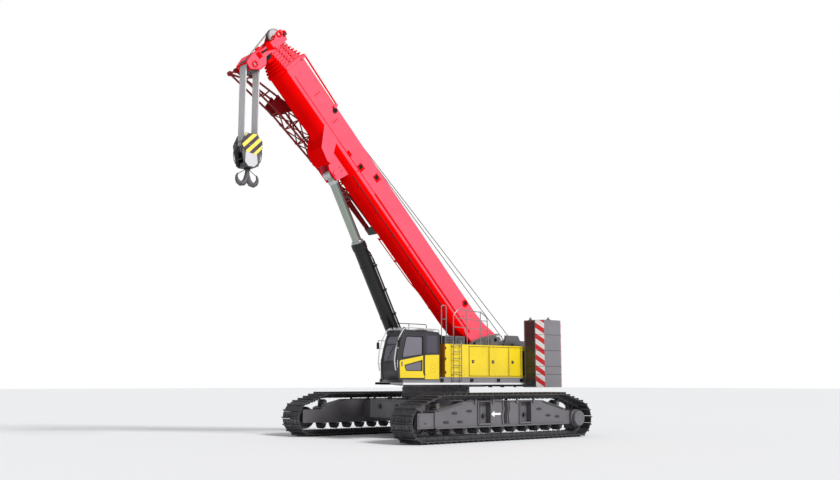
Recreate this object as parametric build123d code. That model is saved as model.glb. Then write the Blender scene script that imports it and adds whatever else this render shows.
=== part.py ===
"""A crawler crane with a seven-section telescopic boom, parked with the boom raised.

Frame: origin on the ground under the slew axis, -Y forward, +X to the crane's left, +Z up. Millimetres.
"""
from build123d import *
import math
import os

# ---- Driving dimensions ----
TRACK_X = 3375          # centre of each track from the middle
SHOE_WIDE = 1150
WHEEL_Z = 710           # idler and sprocket centres
IDLER_Y = -3880
SPROCKET_Y = 3980
BELT_R = 610            # from a wheel's centre to the inner face of the shoes
CARRIER_R = 300         # the belt's bend over each carrier roller
CARRIER_Y = (3100, -3050)
CARRIER_Z = 1310
LINK_DEEP = 170         # chain below the shoes
LINK_WIDE = 300
SHOES = 76
GROUSER = 100
SHOE_PLATE = 55
BEAM_Y = (-940, 1170)   # cross beams of the carbody
SLEW_R = 1270
SLEW_Z = (1700, 1989.7)
DECK_Z = (1990, 2270)
DECK_X = 1750           # half width over the decks
STEP_Y = -3680          # front edge of the step before the cab
DECK_Y = (-3110, 3540)
CAB_DECK_Z = 2170       # the deck is lower under the cab
HOOD_Y = (-1060, 3490)
HOOD_Z = 3500
CAB_X = (860, 1750)
CAB_REAR = -1350
FOOT_Y, FOOT_Z = 2330, 3710   # boom foot pin
BOOM_DEG = 46.2
BASE_LONG = 13650       # foot pin to the front of the base section
BOOM_WIDE = 940
BOOM_TOP = 360          # above the foot pin's line
BOOM_SIDE = 780         # flat side, down from the top
BOOM_BELLY = 540        # depth of the rounded belly
SECTIONS = 6            # moving sections
STEP_IN = 38            # how much smaller each next section is, all round
SKIN = 14
COLLAR_PITCH = 118
SECTION_TAIL = 2450     # rear end of the moving sections, before their stagger
TAIL_STAGGER = 140
EYE_S, EYE_N = 9520, -1255    # luffing cylinder's upper pin, along and across the boom
RAM_Y, RAM_Z = -1390, 2534    # its lower pin
BARREL_R = 265
ROD_R = 175
BARREL_LONG = 5270
PISTON_AT = 2860        # rod's inner end, from the lower pin
NOSE_S, NOSE_N = 14400, -1450  # lower sheaves of the boom head
CROWN_S, CROWN_N = 14700, 150  # upper sheaves
BLOCK_LOW = 9440
HOOK_LOW = 8760
STACK_Z = (1885, 4545)
GAP = 0.3               # between pieces that only meet

os.makedirs("parts", exist_ok=True)


def save(name, *solids):
    """One node: its solids side by side."""
    shapes = [s for part in solids for s in (part.solids() if hasattr(part, "solids") else part)]
    whole = shapes[0] if len(shapes) == 1 else Compound(shapes)
    export_step(whole, f"parts/{name}.step")


def box(x, y, z):
    """A block from pairs of low and high values."""
    middle = [(a + b) / 2 for a, b in (x, y, z)]
    return Pos(*middle) * Box(x[1] - x[0], y[1] - y[0], z[1] - z[0])


def rod_x(y, z, r, x):
    return Pos((x[0] + x[1]) / 2, y, z) * Rot(0, 90, 0) * Cylinder(r, x[1] - x[0])


def rod_y(x, z, r, y):
    return Pos(x, (y[0] + y[1]) / 2, z) * Rot(90, 0, 0) * Cylinder(r, y[1] - y[0])


def rod_z(x, y, r, z):
    return Pos(x, y, (z[0] + z[1]) / 2) * Cylinder(r, z[1] - z[0])


def slab_x(points, x):
    """A plate across X with its outline in (Y, Z)."""
    outline = Polyline(*[(x[0], y, z) for y, z in points], close=True)
    return extrude(make_face(outline), amount=x[1] - x[0], dir=(1, 0, 0))


def slab_y(points, y):
    """A plate across Y with its outline in (X, Z)."""
    outline = Polyline(*[(x, y[0], z) for x, z in points], close=True)
    return extrude(make_face(outline), amount=y[1] - y[0], dir=(0, 1, 0))


def slab_z(points, z):
    """A plate across Z with its outline in (X, Y)."""
    outline = Polyline(*[(x, y, z[0]) for x, y in points], close=True)
    return extrude(make_face(outline), amount=z[1] - z[0], dir=(0, 0, 1))


def bar(a, b, r):
    """An eight-sided bar between two points."""
    a, b = Vector(*a), Vector(*b)
    return extrude(Plane(origin=a, z_dir=b - a) * RegularPolygon(r, 8), amount=(b - a).length)


def fuse(shapes):
    shapes = list(shapes)
    whole = shapes[0]
    return whole.fuse(*shapes[1:]) if len(shapes) > 1 else whole


def both(shape):
    """A shape and its mirror image on the other side."""
    return [shape, mirror(shape, Plane.YZ)]


# ---- Tracks ----
# wheels the belt runs round, counter-clockwise seen from +X: y, z, belt radius
WHEELS = [
    (SPROCKET_Y, WHEEL_Z, BELT_R),
    (CARRIER_Y[0], CARRIER_Z, CARRIER_R),
    (CARRIER_Y[1], CARRIER_Z, CARRIER_R),
    (IDLER_Y, WHEEL_Z, BELT_R),
]


def belt_spans():
    """The belt's path as (length, function of distance -> (y, z, outward angle))."""
    count = len(WHEELS)
    leave = []
    for i in range(count):
        (ya, za, ra), (yb, zb, rb) = WHEELS[i], WHEELS[(i + 1) % count]
        turn = math.asin((ra - rb) / math.hypot(yb - ya, zb - za))
        leave.append(math.atan2(zb - za, yb - ya) - math.pi / 2 + turn)
    spans = []
    for i in range(count):
        y, z, r = WHEELS[i]
        start, end = leave[i - 1], leave[i]
        while end < start:
            end += 2 * math.pi
        spans.append((r * (end - start), lambda d, y=y, z=z, r=r, s=start: (
            y + r * math.cos(s + d / r), z + r * math.sin(s + d / r), s + d / r)))
        y2, z2, r2 = WHEELS[(i + 1) % count]
        a = (y + r * math.cos(end), z + r * math.sin(end))
        b = (y2 + r2 * math.cos(end), z2 + r2 * math.sin(end))
        length = math.dist(a, b)
        spans.append((length, lambda d, a=a, b=b, n=end, k=length: (
            a[0] + (b[0] - a[0]) * d / k, a[1] + (b[1] - a[1]) * d / k, n)))
    return spans


SPANS = belt_spans()
BELT_LONG = sum(length for length, _ in SPANS)


def on_belt(distance, out):
    """The point a given way along the belt and out from it."""
    distance %= BELT_LONG
    for length, at in SPANS:
        if distance <= length:
            y, z, angle = at(distance)
            return y + out * math.cos(angle), z + out * math.sin(angle)
        distance -= length


# one shoe's outline: share of the pitch, height over the chain
SHOE = [(0.04, 0), (0.08, GROUSER), (0.28, GROUSER), (0.34, SHOE_PLATE), (0.92, SHOE_PLATE), (0.96, 0)]


def belt_band(out, low, shoes=False):
    """The loop's outline between two offsets, with the shoes on its outside if asked."""
    pitch = BELT_LONG / SHOES
    if shoes:
        rim = [on_belt((i + share) * pitch, out + rise) for i in range(SHOES) for share, rise in SHOE]
    else:
        rim = [on_belt(i * pitch, out) for i in range(SHOES)]
    inside = [on_belt(i * pitch, low) for i in range(SHOES)]
    return rim, inside


def make_track(side):
    half = SHOE_WIDE / 2
    rim, inside = belt_band(0, -25, shoes=True)
    middle = side * TRACK_X
    shoes = slab_x(rim, (middle - half, middle + half)) - slab_x(inside,
        (middle - half - 1, middle + half + 1))
    rim, inside = belt_band(-15, -LINK_DEEP)
    across = (middle - LINK_WIDE / 2, middle + LINK_WIDE / 2)
    chain = slab_x(rim, across) - slab_x(inside, (across[0] - 1, across[1] + 1))
    return shoes.fuse(chain)


def make_wheel(y, r, side, hub_out):
    """An idler or sprocket between the chain's sides, with its hub."""
    middle = side * TRACK_X
    tread = rod_x(y, WHEEL_Z, r, (middle - 90, middle + 90))
    for face in (-1, 1):
        tread -= rod_x(y, WHEEL_Z, r - 95, sorted((middle + face * 60, middle + face * 91)))
    hub = rod_x(y, WHEEL_Z, hub_out, (middle - 244.7, middle + 244.7))
    return tread.fuse(hub)


def make_frame(side):
    """A side frame: the long box, its top plates, the idler yoke and the drive bracket."""
    def x(a, b):
        return sorted((side * a, side * b))
    outline = [(-3290, 500), (-3290, 1095), (-1980, 1415), (2130, 1415), (3400, 1090), (3400, 500)]
    body = slab_x(outline, x(3070, 3680))
    for y in BEAM_Y:
        body -= box(x(3500, 3700), (y - 290, y + 290), (635, 1385))
    yoke = [box(x(a, b), (-4160, -3290), (520, 1030)) for a, b in ((3070, 3130), (3620, 3680))]
    drive = [box(x(3070, 3130), (3390, 4250), (430, 990)), box(x(3600, 3680), (3390, 3640), (500, 1000))]
    posts = [box(x(a, a + 40), (y - 70, y + 70), (1050, CARRIER_Z + 60))
             for y in CARRIER_Y for a in (TRACK_X - 210 - GAP, TRACK_X + 170 + GAP)]
    return fuse([body, *yoke, *drive, *posts])


WHEEL_R = (BELT_R - LINK_DEEP) * math.cos(BELT_LONG / SHOES / 2 / BELT_R) - GAP


def make_rollers(side):
    """Bottom rollers and carrier rollers on their pins."""
    made = []
    middle = side * TRACK_X
    for i in range(11):
        y = -3100 + i * 630
        roller = rod_x(y, 385, 115 - GAP, (middle - 190, middle + 190))
        roller = roller.fuse(box((middle - 60, middle + 60), (y - 70, y + 70), (385, 500 - GAP)))
        made.append(roller)
    for y in CARRIER_Y:
        made.append(rod_x(y, CARRIER_Z, 112, (middle - 170, middle + 170)))
    return made


def make_final_drive(side):
    face = TRACK_X + 245
    return rod_x(SPROCKET_Y, WHEEL_Z, 330, sorted((side * face, side * (face + 330))))


SIDES = (("left", 1), ("right", -1))
for name, side in SIDES:
    save(f"track_{name}", make_track(side))
    save(f"track_frame_{name}", make_frame(side))
save("track_rollers", *[r for _, side in SIDES for r in make_rollers(side)])
save("idlers", *[make_wheel(IDLER_Y, WHEEL_R, side, 150) for _, side in SIDES])
save("sprockets", *[make_wheel(SPROCKET_Y, WHEEL_R, side, 200) for _, side in SIDES])
save("final_drives", *[make_final_drive(side) for _, side in SIDES])


# ---- Carbody and slew ring ----
def make_carbody():
    core = slab_z([(-1350, -1500), (1350, -1500), (1350, 1750), (-1350, 1750)], (720, 1480))
    pedestal = rod_z(0, 0, SLEW_R + 60, (1400, SLEW_Z[0]))
    beams = []
    for y in BEAM_Y:
        outline = [(-3069.7, 660), (3069.7, 660), (3069.7, 1360), (1300, 1480), (-1300, 1480),
            (-3069.7, 1360)]
        beams.append(slab_y(outline, (y - 270, y + 270)))
    return fuse([core, pedestal, *beams])


save("carbody", make_carbody())
ring = rod_z(0, 0, SLEW_R, (SLEW_Z[0] + GAP, SLEW_Z[1])) - rod_z(0, 0, SLEW_R - 220,
    (SLEW_Z[0] - 1, SLEW_Z[1] + 1))
save("slew_ring", ring)
WEIGHT_Y = (-2350, -1500 - GAP)
weights = []
for y in (WEIGHT_Y, (1750 + GAP, 2550)):
    weight = box((-1150, 1150), y, (760, 1440))
    for x in (-500, 500):
        weight += rod_x((y[0] + y[1]) / 2, 1470, 90, (x - 25, x + 25))
        weight -= rod_x((y[0] + y[1]) / 2, 1490, 35, (x - 26, x + 26))
    weights.append(weight)
save("carbody_weights", *weights)


# ---- Turntable frame and decks ----
CHEEK_X = (500, 580)
WINCHES = [("main", 3700, 3560), ("auxiliary", 4480, 3400)]   # name, Y, Z of the drum
DRUM_R, FLANGE_R = 260, 380
CHEEK = [
    (-2300, 2200), (-2300, 2950), (-1100, 3080), (1250, 3560), (1500, 3740), (2100, 3900), (2750, 4010),
    (3080, 3700), (3300, 3700), (3360, 4000), (4080, 4000), (4200, 3800), (4900, 3760), (4900, 2900),
    (4350, 2200),
]


def make_turntable():
    floor = box((-CHEEK_X[1], CHEEK_X[1]), (-2350, 4350), (DECK_Z[0], DECK_Z[0] + 120))
    cheek = slab_x(CHEEK, CHEEK_X).fuse(box(CHEEK_X, (-2350, 4350), (DECK_Z[0], 2210)))
    cheek -= rod_x(FOOT_Y, FOOT_Z, 125.05, (400, 700))
    cheek -= rod_x(RAM_Y, RAM_Z, 105.05, (400, 700))
    for _, y, z in WINCHES:
        cheek -= rod_x(y, z, 99.55, (400, 700))
    cross = [
        box((-500, 500), (-2300, -2230), (2100, 2300)),
        box((-500, 500), (3180, 3240), (2100, 2900)),
    ]
    bosses = []
    for y, z, r, bore in ((FOOT_Y, FOOT_Z, 220, 125.05), (RAM_Y, RAM_Z, 190, 105.05),
                          *((y, z, 170, 99.55) for _, y, z in WINCHES)):
        boss = rod_x(y, z, r, (CHEEK_X[1], CHEEK_X[1] + 22)) - rod_x(y, z, bore, (400, 700))
        bosses += both(boss)
    ribs = []
    for y, top in ((-2200, 2900), (-600, 3100), (900, 3420), (3200, 3650)):
        ribs += both(box((CHEEK_X[1], CHEEK_X[1] + 60), (y - 20, y + 20), (DECK_Z[1] + 10, top)))
    return fuse([floor, *both(cheek), *cross, *bosses, *ribs])


def make_deck(side):
    def x(a, b):
        return sorted((side * a, side * b))
    inner = CHEEK_X[1] + GAP
    plate = box(x(inner, DECK_X), (CAB_REAR + GAP, DECK_Y[1]), DECK_Z)
    if side > 0:
        under_cab = box(x(inner, DECK_X), (DECK_Y[0], CAB_REAR + GAP), (DECK_Z[0], CAB_DECK_Z))
        step = box(x(CAB_X[0], DECK_X), (STEP_Y, DECK_Y[0]), (2000, 2060))
        plate = fuse([plate, under_cab, step])
    for y in (1400, 2050, 3350):
        plate = plate.fuse(box(x(DECK_X - 200, DECK_X - 130), (y - 35, y + 35), (1890, 2000)))
    return plate


save("turntable_frame", make_turntable())
save("deck_left", make_deck(1))
save("deck_right", make_deck(-1))

# ---- Hoods and their doors ----
DOOR_EDGE = [160, 1230, 2320, 3000]
DOOR_Z = (2320, 3440)
HOOD_SKIN = 40
HINGE_R = 14
HINGE_X = DECK_X + 14.3   # hood hinges, just outside the skin
HINGE_IN = 24
POST = 40               # between two doors


def make_hood(side):
    def x(a, b):
        return sorted((side * a, side * b))
    shell = box(x(660, DECK_X), HOOD_Y, (DECK_Z[1] + GAP, HOOD_Z))
    shell -= box(x(700, DECK_X - HOOD_SKIN), (HOOD_Y[0] + 40, HOOD_Y[1] - 40), (DECK_Z[1] - 1, HOOD_Z - 40))
    for front, rear in zip(DOOR_EDGE, DOOR_EDGE[1:]):
        shell -= box(x(DECK_X - 60, DECK_X + 1), (front + POST / 2, rear - POST / 2), DOOR_Z)
        hinge_y = rear - POST / 2 - HINGE_IN
        for z in (DOOR_Z[0] + 60, DOOR_Z[1] - 120 + GAP):
            knuckle = rod_z(side * HINGE_X, hinge_y, HINGE_R, (z, z + 60 - GAP))
            leaf = box(x(DECK_X, DECK_X + 6), (hinge_y, rear), (z, z + 60 - GAP))
            shell = shell.fuse(knuckle, leaf)
    return shell


def make_hood_door(side, i):
    def x(a, b):
        return sorted((side * a, side * b))
    front, rear = DOOR_EDGE[i] + POST / 2, DOOR_EDGE[i + 1] - POST / 2
    panel = box(x(DECK_X - HOOD_SKIN, DECK_X - GAP), (front + 6, rear - 6), (DOOR_Z[0] + 6, DOOR_Z[1] - 6))
    span = (DOOR_Z[0] + 120, DOOR_Z[1] - 120)
    knuckle = rod_z(side * HINGE_X, rear - HINGE_IN, HINGE_R, span)
    leaf = box(x(DECK_X - 5, DECK_X + 6), (rear - HINGE_IN - 60, rear - HINGE_IN), span)
    latch = box(x(DECK_X - 5, DECK_X + 12), (front + 130, front + 220), (2840, 2900))
    return fuse([panel, knuckle, leaf, latch])


for name, side in SIDES:
    save(f"hood_{name}", make_hood(side))
    for i in range(3):
        save(f"hood_door_{name}_{i + 1}", make_hood_door(side, i))
save("engine", box((-1560, -760), (600, 2700), (DECK_Z[1] + GAP, 3250)))

# ---- Cab ----
CAB_BASE = CAB_DECK_Z + GAP
CAB_SIDE = [
    (CAB_REAR, CAB_BASE), (CAB_REAR, 3850), (-1420, 3915), (-2950, 3950), (-3070, 3900), (-3200, 3610),
    (-3330, 3160), (-3410, 2790), (-3400, 2470), (-3300, CAB_BASE),
]
CAB_WALL = 50
CAB_FRAME = 90          # round the windscreen and the rear window
DOOR_REAR = -2080
CAB_DOOR = [
    (DOOR_REAR, 2230), (DOOR_REAR, 3840), (-3000, 3840), (-3090, 3590), (-3200, 3160), (-3270,
        2800), (-3250, 2230),
]
DOOR_WINDOW = [
    (DOOR_REAR - 96, 3090), (DOOR_REAR - 96, 3744), (-2930, 3744), (-3000, 3560), (-3100, 3170), (-3120,
        2960),
]
DOOR_LOOKOUT = [(-2960, 2500), (-2200, 2500), (-2200, 2880), (-3030, 2690)]
THROUGH_LEFT = (CAB_X[1] - 60, CAB_X[1] + 1)
PANE_LEFT = (CAB_X[1] - 30, CAB_X[1] - 22)
PANE_RIGHT = (CAB_X[0] + 22, CAB_X[0] + 30)
QUARTER = ((-1990, -1460), (3150, 3800))
RIGHT_WINDOW = ((-2960, -1460), (3050, 3780))


def outline_x(points, x, grow=0):
    """A face across X, its (Y, Z) outline grown or drawn in."""
    face = make_face(Polyline(*[(x, y, z) for y, z in points], close=True))
    return offset(face, grow, kind=Kind.INTERSECTION) if grow else face


def grown_slab(points, x, grow):
    return extrude(outline_x(points, x[0], grow), amount=x[1] - x[0], dir=(1, 0, 0))


def drawn_in(span):
    return (span[0] + GAP, span[1] - GAP)


def make_cab():
    shell = grown_slab(CAB_SIDE, CAB_X, 0)
    shell -= grown_slab(CAB_SIDE, (CAB_X[0] + CAB_WALL, CAB_X[1] - CAB_WALL), -CAB_WALL)
    inside = (CAB_X[0] + CAB_FRAME, CAB_X[1] - CAB_FRAME)
    shell -= box(inside, (-3600, -3040), (2850, 3740))
    shell -= box(inside, (-2850, -2350), (3850, 4000))
    shell -= grown_slab(CAB_DOOR, THROUGH_LEFT, 0)
    shell -= box(THROUGH_LEFT, *QUARTER)
    shell -= box((CAB_X[0] - 1, CAB_X[0] + 60), *RIGHT_WINDOW)
    shell -= box(inside, (CAB_REAR - 60, CAB_REAR + 10), (3050, 3800))
    hinge_y = DOOR_REAR - HINGE_IN
    for z in (2330, 3700 + GAP):
        knuckle = rod_z(HINGE_X, hinge_y, HINGE_R, (z, z + 60 - GAP))
        leaf = box((CAB_X[1], CAB_X[1] + 6), (hinge_y, DOOR_REAR + 40), (z, z + 60 - GAP))
        shell = shell.fuse(knuckle, leaf)
    return shell


def make_cab_glass():
    """Panes let into the window openings."""
    inside = drawn_in((CAB_X[0] + CAB_FRAME, CAB_X[1] - CAB_FRAME))
    wrap = grown_slab(CAB_SIDE, inside, -16) - grown_slab(CAB_SIDE, (inside[0] - 1, inside[1] + 1), -26)
    front = wrap & box(inside, (-3600, -3040 - GAP), drawn_in((2850, 3740)))
    roof = wrap & box(inside, drawn_in((-2850, -2350)), (3850, 4000))
    quarter = box(PANE_LEFT, drawn_in(QUARTER[0]), drawn_in(QUARTER[1]))
    right = box(PANE_RIGHT, drawn_in(RIGHT_WINDOW[0]), drawn_in(RIGHT_WINDOW[1]))
    rear = box(inside, (CAB_REAR - 30, CAB_REAR - 22), drawn_in((3050, 3800)))
    return [front, roof, quarter, right, rear]


def make_cab_door():
    panel = grown_slab(CAB_DOOR, (CAB_X[1] - CAB_WALL, CAB_X[1] - GAP), -6)
    panel -= grown_slab(DOOR_WINDOW, THROUGH_LEFT, 0)
    panel -= grown_slab(DOOR_LOOKOUT, THROUGH_LEFT, 0)
    hinge_y = DOOR_REAR - HINGE_IN
    knuckle = rod_z(HINGE_X, hinge_y, HINGE_R, (2390, 3700))
    leaf = box((CAB_X[1] - 5, CAB_X[1] + 6), (hinge_y - 50, hinge_y), (2390, 3700))
    handle = box((CAB_X[1] - 5, CAB_X[1] + 25), (-3180, -3140), (2660, 2800))
    return fuse([panel, knuckle, leaf, handle])


save("cab_shell", make_cab())
save("cab_glass", *make_cab_glass())
save("cab_door", make_cab_door())
save("cab_door_glass", grown_slab(DOOR_WINDOW, PANE_LEFT, -GAP), grown_slab(DOOR_LOOKOUT, PANE_LEFT, -GAP))
floor_z = CAB_BASE + CAB_WALL + GAP
seat = fuse([
    box((1100, 1500), (-2250, -1900), (floor_z, 2560)), box((1030, 1570), (-2480, -1900), (2560, 2720)),
    box((1030, 1570), (-2000, -1860), (2720, 3420)),
])
save("cab_seat", seat, box((920, 1010), (-2700, -1900), (floor_z, 2890)))

# ---- Counterweights ----
STACK = [(1830, 3130), (2450, 3130), (2760, 3310), (2760, 4270), (2600, 4480), (1830, 4480)]
SLAB_Z = [STACK_Z[0], 2395, 2710, 3330, 3950, STACK_Z[1]]


def make_stack(side):
    slabs = []
    for low, high in zip(SLAB_Z, SLAB_Z[1:]):
        slabs.append(slab_z([(side * x, y) for x, y in STACK], (low + GAP, high)))
    top = slabs[-1]
    for x, y in ((2050, 3300), (2050, 4300), (2550, 3800)):
        top = top.fuse(rod_x(y, STACK_Z[1], 80, sorted((side * (x - 25), side * (x + 25)))))
    slabs[-1] = top
    return slabs


save("counterweight_slabs", *[slab for _, side in SIDES for slab in make_stack(side)])
tray = box((-1829.7, 1829.7), (3560, 4480), (1990, 2700))
tray -= box((-CHEEK_X[1] - GAP, CHEEK_X[1] + GAP), (3500, 4500), (1900, 3000))
tray = tray.fuse(box((-1829.7, 1829.7), (4400, 4480), (1900, 2000)))
save("counterweight_tray", tray)

# ---- Winches ----
for name, y, z in WINCHES:
    drum = fuse([
        rod_x(y, z, DRUM_R, (-430, 430)), rod_x(y, z, 99.5, (-570, 570)),
        rod_x(y, z, FLANGE_R, (-460, -430)), rod_x(y, z, FLANGE_R, (430, 460)),
    ])
    save(f"winch_drum_{name}", drum)

# ---- Boom ----
BOOM = Pos(0, FOOT_Y, FOOT_Z) * Rot(-BOOM_DEG, 0, 0)   # level boom, pin at its origin, to its parked place


def u_solid(inset, start, end):
    """A length of boom section: flat top and sides, rounded belly, drawn in by an inset."""
    w, top = BOOM_WIDE / 2 - inset, BOOM_TOP - inset
    low, belly = BOOM_TOP - BOOM_SIDE, BOOM_BELLY - inset
    rim = Polyline((-w, -start, low), (-w, -start, top), (w, -start, top), (w, -start, low))
    arc = ThreePointArc((w, -start, low), (0, -start, low - belly), (-w, -start, low))
    return extrude(make_face(rim + arc), amount=end - start, dir=(0, -1, 0))


def u_tube(inset, start, end):
    return u_solid(inset, start, end) - u_solid(inset + SKIN, start - 1, end + 1)


def front_of(i):
    return BASE_LONG + i * COLLAR_PITCH


TAIL_CUT = [(200, -250), (-600, -640), (-2400, -985)]   # the belly runs up towards the foot pin
SADDLE = [(-11300, -400), (-10620, -1230), (-10100, -1360), (-9930, -1300), (-10480, -400)]
LUG = [(-10150, -450), (-9050, -450), (-9270, EYE_N - 150), (-9770, EYE_N - 150), (-10050, -1250)]
TAIL_PLATE = [
    (-1600, 300), (-1600, -440), (-970, -660), (-600, -590), (-150, -250), (140, 150), (130, 590), (0, 570),
    (-550, 430), (-1100, 362),
]


def make_base():
    tube = u_tube(0, -150, BASE_LONG) - slab_x([*TAIL_CUT, (-2400, -1200), (300, -1200), (300, -250)],
        (-600, 600))
    closing = slab_x([*TAIL_CUT, *[(y, n + SKIN) for y, n in reversed(TAIL_CUT)]], (-600, 600))
    closing = closing & u_solid(0, -150, 2500)
    collar = u_solid(-45, BASE_LONG - 120, BASE_LONG) - u_solid(STEP_IN - GAP, BASE_LONG - 121, BASE_LONG + 1)
    saddle = slab_x(SADDLE, (-BOOM_WIDE / 2 - 8, BOOM_WIDE / 2 + 8)) - u_solid(SKIN / 2, 9000, 13000)
    lugs = [slab_x(LUG, x) - u_solid(SKIN / 2, 9000, 11000) for x in ((-330, -230), (230, 330))]
    tail = [slab_x(TAIL_PLATE, x) for x in ((-478, -456), (456, 478))]
    caps = [rod_x(-EYE_S, EYE_N, 120, x) for x in ((-360, -330), (330, 360))]
    line = [bar((500, -13600, 300), (500, -13600, 460), 32), bar((500, -13600, 460), (500, -11400, 400), 32),
            bar((500, -11400, 400), (500, -11340, 240), 32), box((440, 540), (-13600, -13500), (220, 440)),
            box((440, 540), (-11470, -11370), (220, 420))]
    rail = [bar((-620, -6150, -720), (-620, -3900, -690), 20),
        bar((-620, -3900, -690), (-620, -2620, -530), 20),
            box((-630, -400), (-6100, -6040), (-740, -690)), box((-630, -400), (-5000, -4940), (-730, -680)),
            box((-630, -460), (-2780, -2720), (-560, -510))]
    whole = fuse([tube, closing, collar, saddle, *lugs, *caps, *tail, *line, *rail])
    return whole - rod_x(0, 0, 126, (-480, 480))


def make_section(i):
    inset = i * STEP_IN
    front = front_of(i)
    tube = u_tube(inset, SECTION_TAIL + TAIL_STAGGER * i, front)
    out = 55
    bore = inset + (STEP_IN - GAP if i < SECTIONS else SKIN)
    collar = u_solid(inset - out, front - 58, front) - u_solid(bore, front - 59, front + 1)
    return tube.fuse(collar)


save("boom_base", BOOM * make_base())
for i in range(1, SECTIONS + 1):
    save(f"boom_section_{i}", BOOM * make_section(i))
HEAD_FRONT = front_of(SECTIONS)
NOSE_PIN_R = 60
HEAD_PLATE = [
    (HEAD_FRONT + GAP, 290), (14520, 340), (14640, 375), (14790, 310), (14800, 60), (14680,
        -120), (14650, -750),
    (14740, -1300), (14640, -1700), (14360, -1730), (14130, -1380), (14140, -1060), (HEAD_FRONT + GAP, -860),
]


def make_head():
    plates = [slab_x([(-s, n) for s, n in HEAD_PLATE], x) for x in ((-345, -300), (300, 345))]
    wall = box((-345, 345), (-HEAD_FRONT - 60, -HEAD_FRONT - GAP), (-560, 120))
    spine = box((-345, 345), (-14560, -14430), (-1150, -350))
    head = fuse([*plates, wall, spine])
    for s, n in ((NOSE_S, NOSE_N), (CROWN_S, CROWN_N)):
        head -= rod_x(-s, n, NOSE_PIN_R + 0.05, (-400, 400))
    return head


save("boom_head", BOOM * make_head())


def make_sheaves(s, n, r, count, wide, bore):
    """A row of grooved sheaves side by side on one hub."""
    hub = rod_x(-s, n, r * 0.5, (-wide / 2, wide / 2))
    pitch = wide / count
    wheels = [hub]
    for k in range(count):
        x = -wide / 2 + (k + 0.5) * pitch
        wheels.append(rod_x(-s, n, r, (x - pitch * 0.36, x + pitch * 0.36)))
    whole = fuse(wheels)
    return whole - rod_x(-s, n, bore, (-wide, wide)) if bore else whole


save("nose_sheaves", BOOM * make_sheaves(NOSE_S, NOSE_N, 275, 5, 520, NOSE_PIN_R + 0.05))
save("nose_pin", BOOM * rod_x(-NOSE_S, NOSE_N, NOSE_PIN_R, (-345, 345)))
crown = make_sheaves(CROWN_S, CROWN_N, 260, 2, 260, 0)
save("crown_sheaves", BOOM * crown.fuse(rod_x(-CROWN_S, CROWN_N, NOSE_PIN_R, (-345, 345))))
save("boom_foot_pin", rod_x(FOOT_Y, FOOT_Z, 125, (-620, 620)))

# ---- Luffing cylinder ----
eye = (BOOM * Pos(0, -EYE_S, EYE_N)).position
eye_y, eye_z = eye.Y, eye.Z
RAM_LONG = math.hypot(eye_y - RAM_Y, eye_z - RAM_Z)
RAM_DEG = math.degrees(math.atan2(eye_z - RAM_Z, RAM_Y - eye_y))
RAM = Pos(0, RAM_Y, RAM_Z) * Rot(-RAM_DEG, 0, 0)


def make_barrel():
    body = rod_y(0, 0, BARREL_R, (-BARREL_LONG, -150))
    lug = rod_x(0, 0, 200, (-200, 200)).fuse(box((-200, 200), (-300, 0), (-200, 200)))
    head = rod_y(0, 0, BARREL_R + 15, (-BARREL_LONG - 60, -BARREL_LONG + 120))
    barrel = fuse([body, lug, head])
    barrel -= rod_y(0, 0, BARREL_R - 40, (-BARREL_LONG + 100, -400))
    barrel -= rod_y(0, 0, ROD_R + 0.05, (-BARREL_LONG - 70, -BARREL_LONG + 110))
    return barrel - rod_x(0, 0, 105.05, (-220, 220))


def make_ram_rod():
    rod = rod_y(0, 0, ROD_R, (-RAM_LONG + 60, -PISTON_AT))
    eye_ring = rod_x(-RAM_LONG, 0, 200, (-230 + GAP, 230 - GAP))
    return rod.fuse(eye_ring)


save("luff_barrel", RAM * make_barrel())
save("luff_rod", RAM * make_ram_rod())
save("luff_piston", RAM * rod_y(0, 0, BARREL_R - 40.05, (-PISTON_AT + GAP, -PISTON_AT + 120)))
save("luff_foot_pin", RAM * rod_x(0, 0, 105, (-600, 600)))

# ---- Fly jib, stowed along the right of the boom ----
JIB_X = (-1100, -660)
JIB_FRONT, JIB_REAR = 12400, 8000
JIB_UP = (-600, -440)     # upper chords at the front and the rear
JIB_LOW = (-1130, -660)
CHORD_R = 40


def jib_at(s, level):
    """How far above the pin's line a chord runs, at a distance along the boom."""
    share = (JIB_FRONT - s) / (JIB_FRONT - JIB_REAR)
    return level[0] + share * (level[1] - level[0])


def make_jib():
    bars = []
    ring = [(JIB_X[0], JIB_LOW), (JIB_X[1], JIB_LOW), (JIB_X[1], JIB_UP), (JIB_X[0], JIB_UP)]
    for x, level in ring:
        bars.append(bar((x, -JIB_REAR, level[1]), (x, -JIB_FRONT, level[0]), CHORD_R))
    panels = 6
    step = (JIB_FRONT - JIB_REAR) / panels
    for k in range(panels + 1):
        s = JIB_REAR + k * step
        for (xa, la), (xb, lb) in zip(ring, ring[1:] + ring[:1]):
            bars.append(bar((xa, -s, jib_at(s, la)), (xb, -s, jib_at(s, lb)), 28))
            if k < panels:
                turn = k % 2
                first, last = ((xa, la), (xb, lb)) if turn else ((xb, lb), (xa, la))
                bars.append(bar((first[0], -s, jib_at(s, first[1])),
                                (last[0], -s - step, jib_at(s + step, last[1])), 24))
    return fuse(bars)


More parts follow.
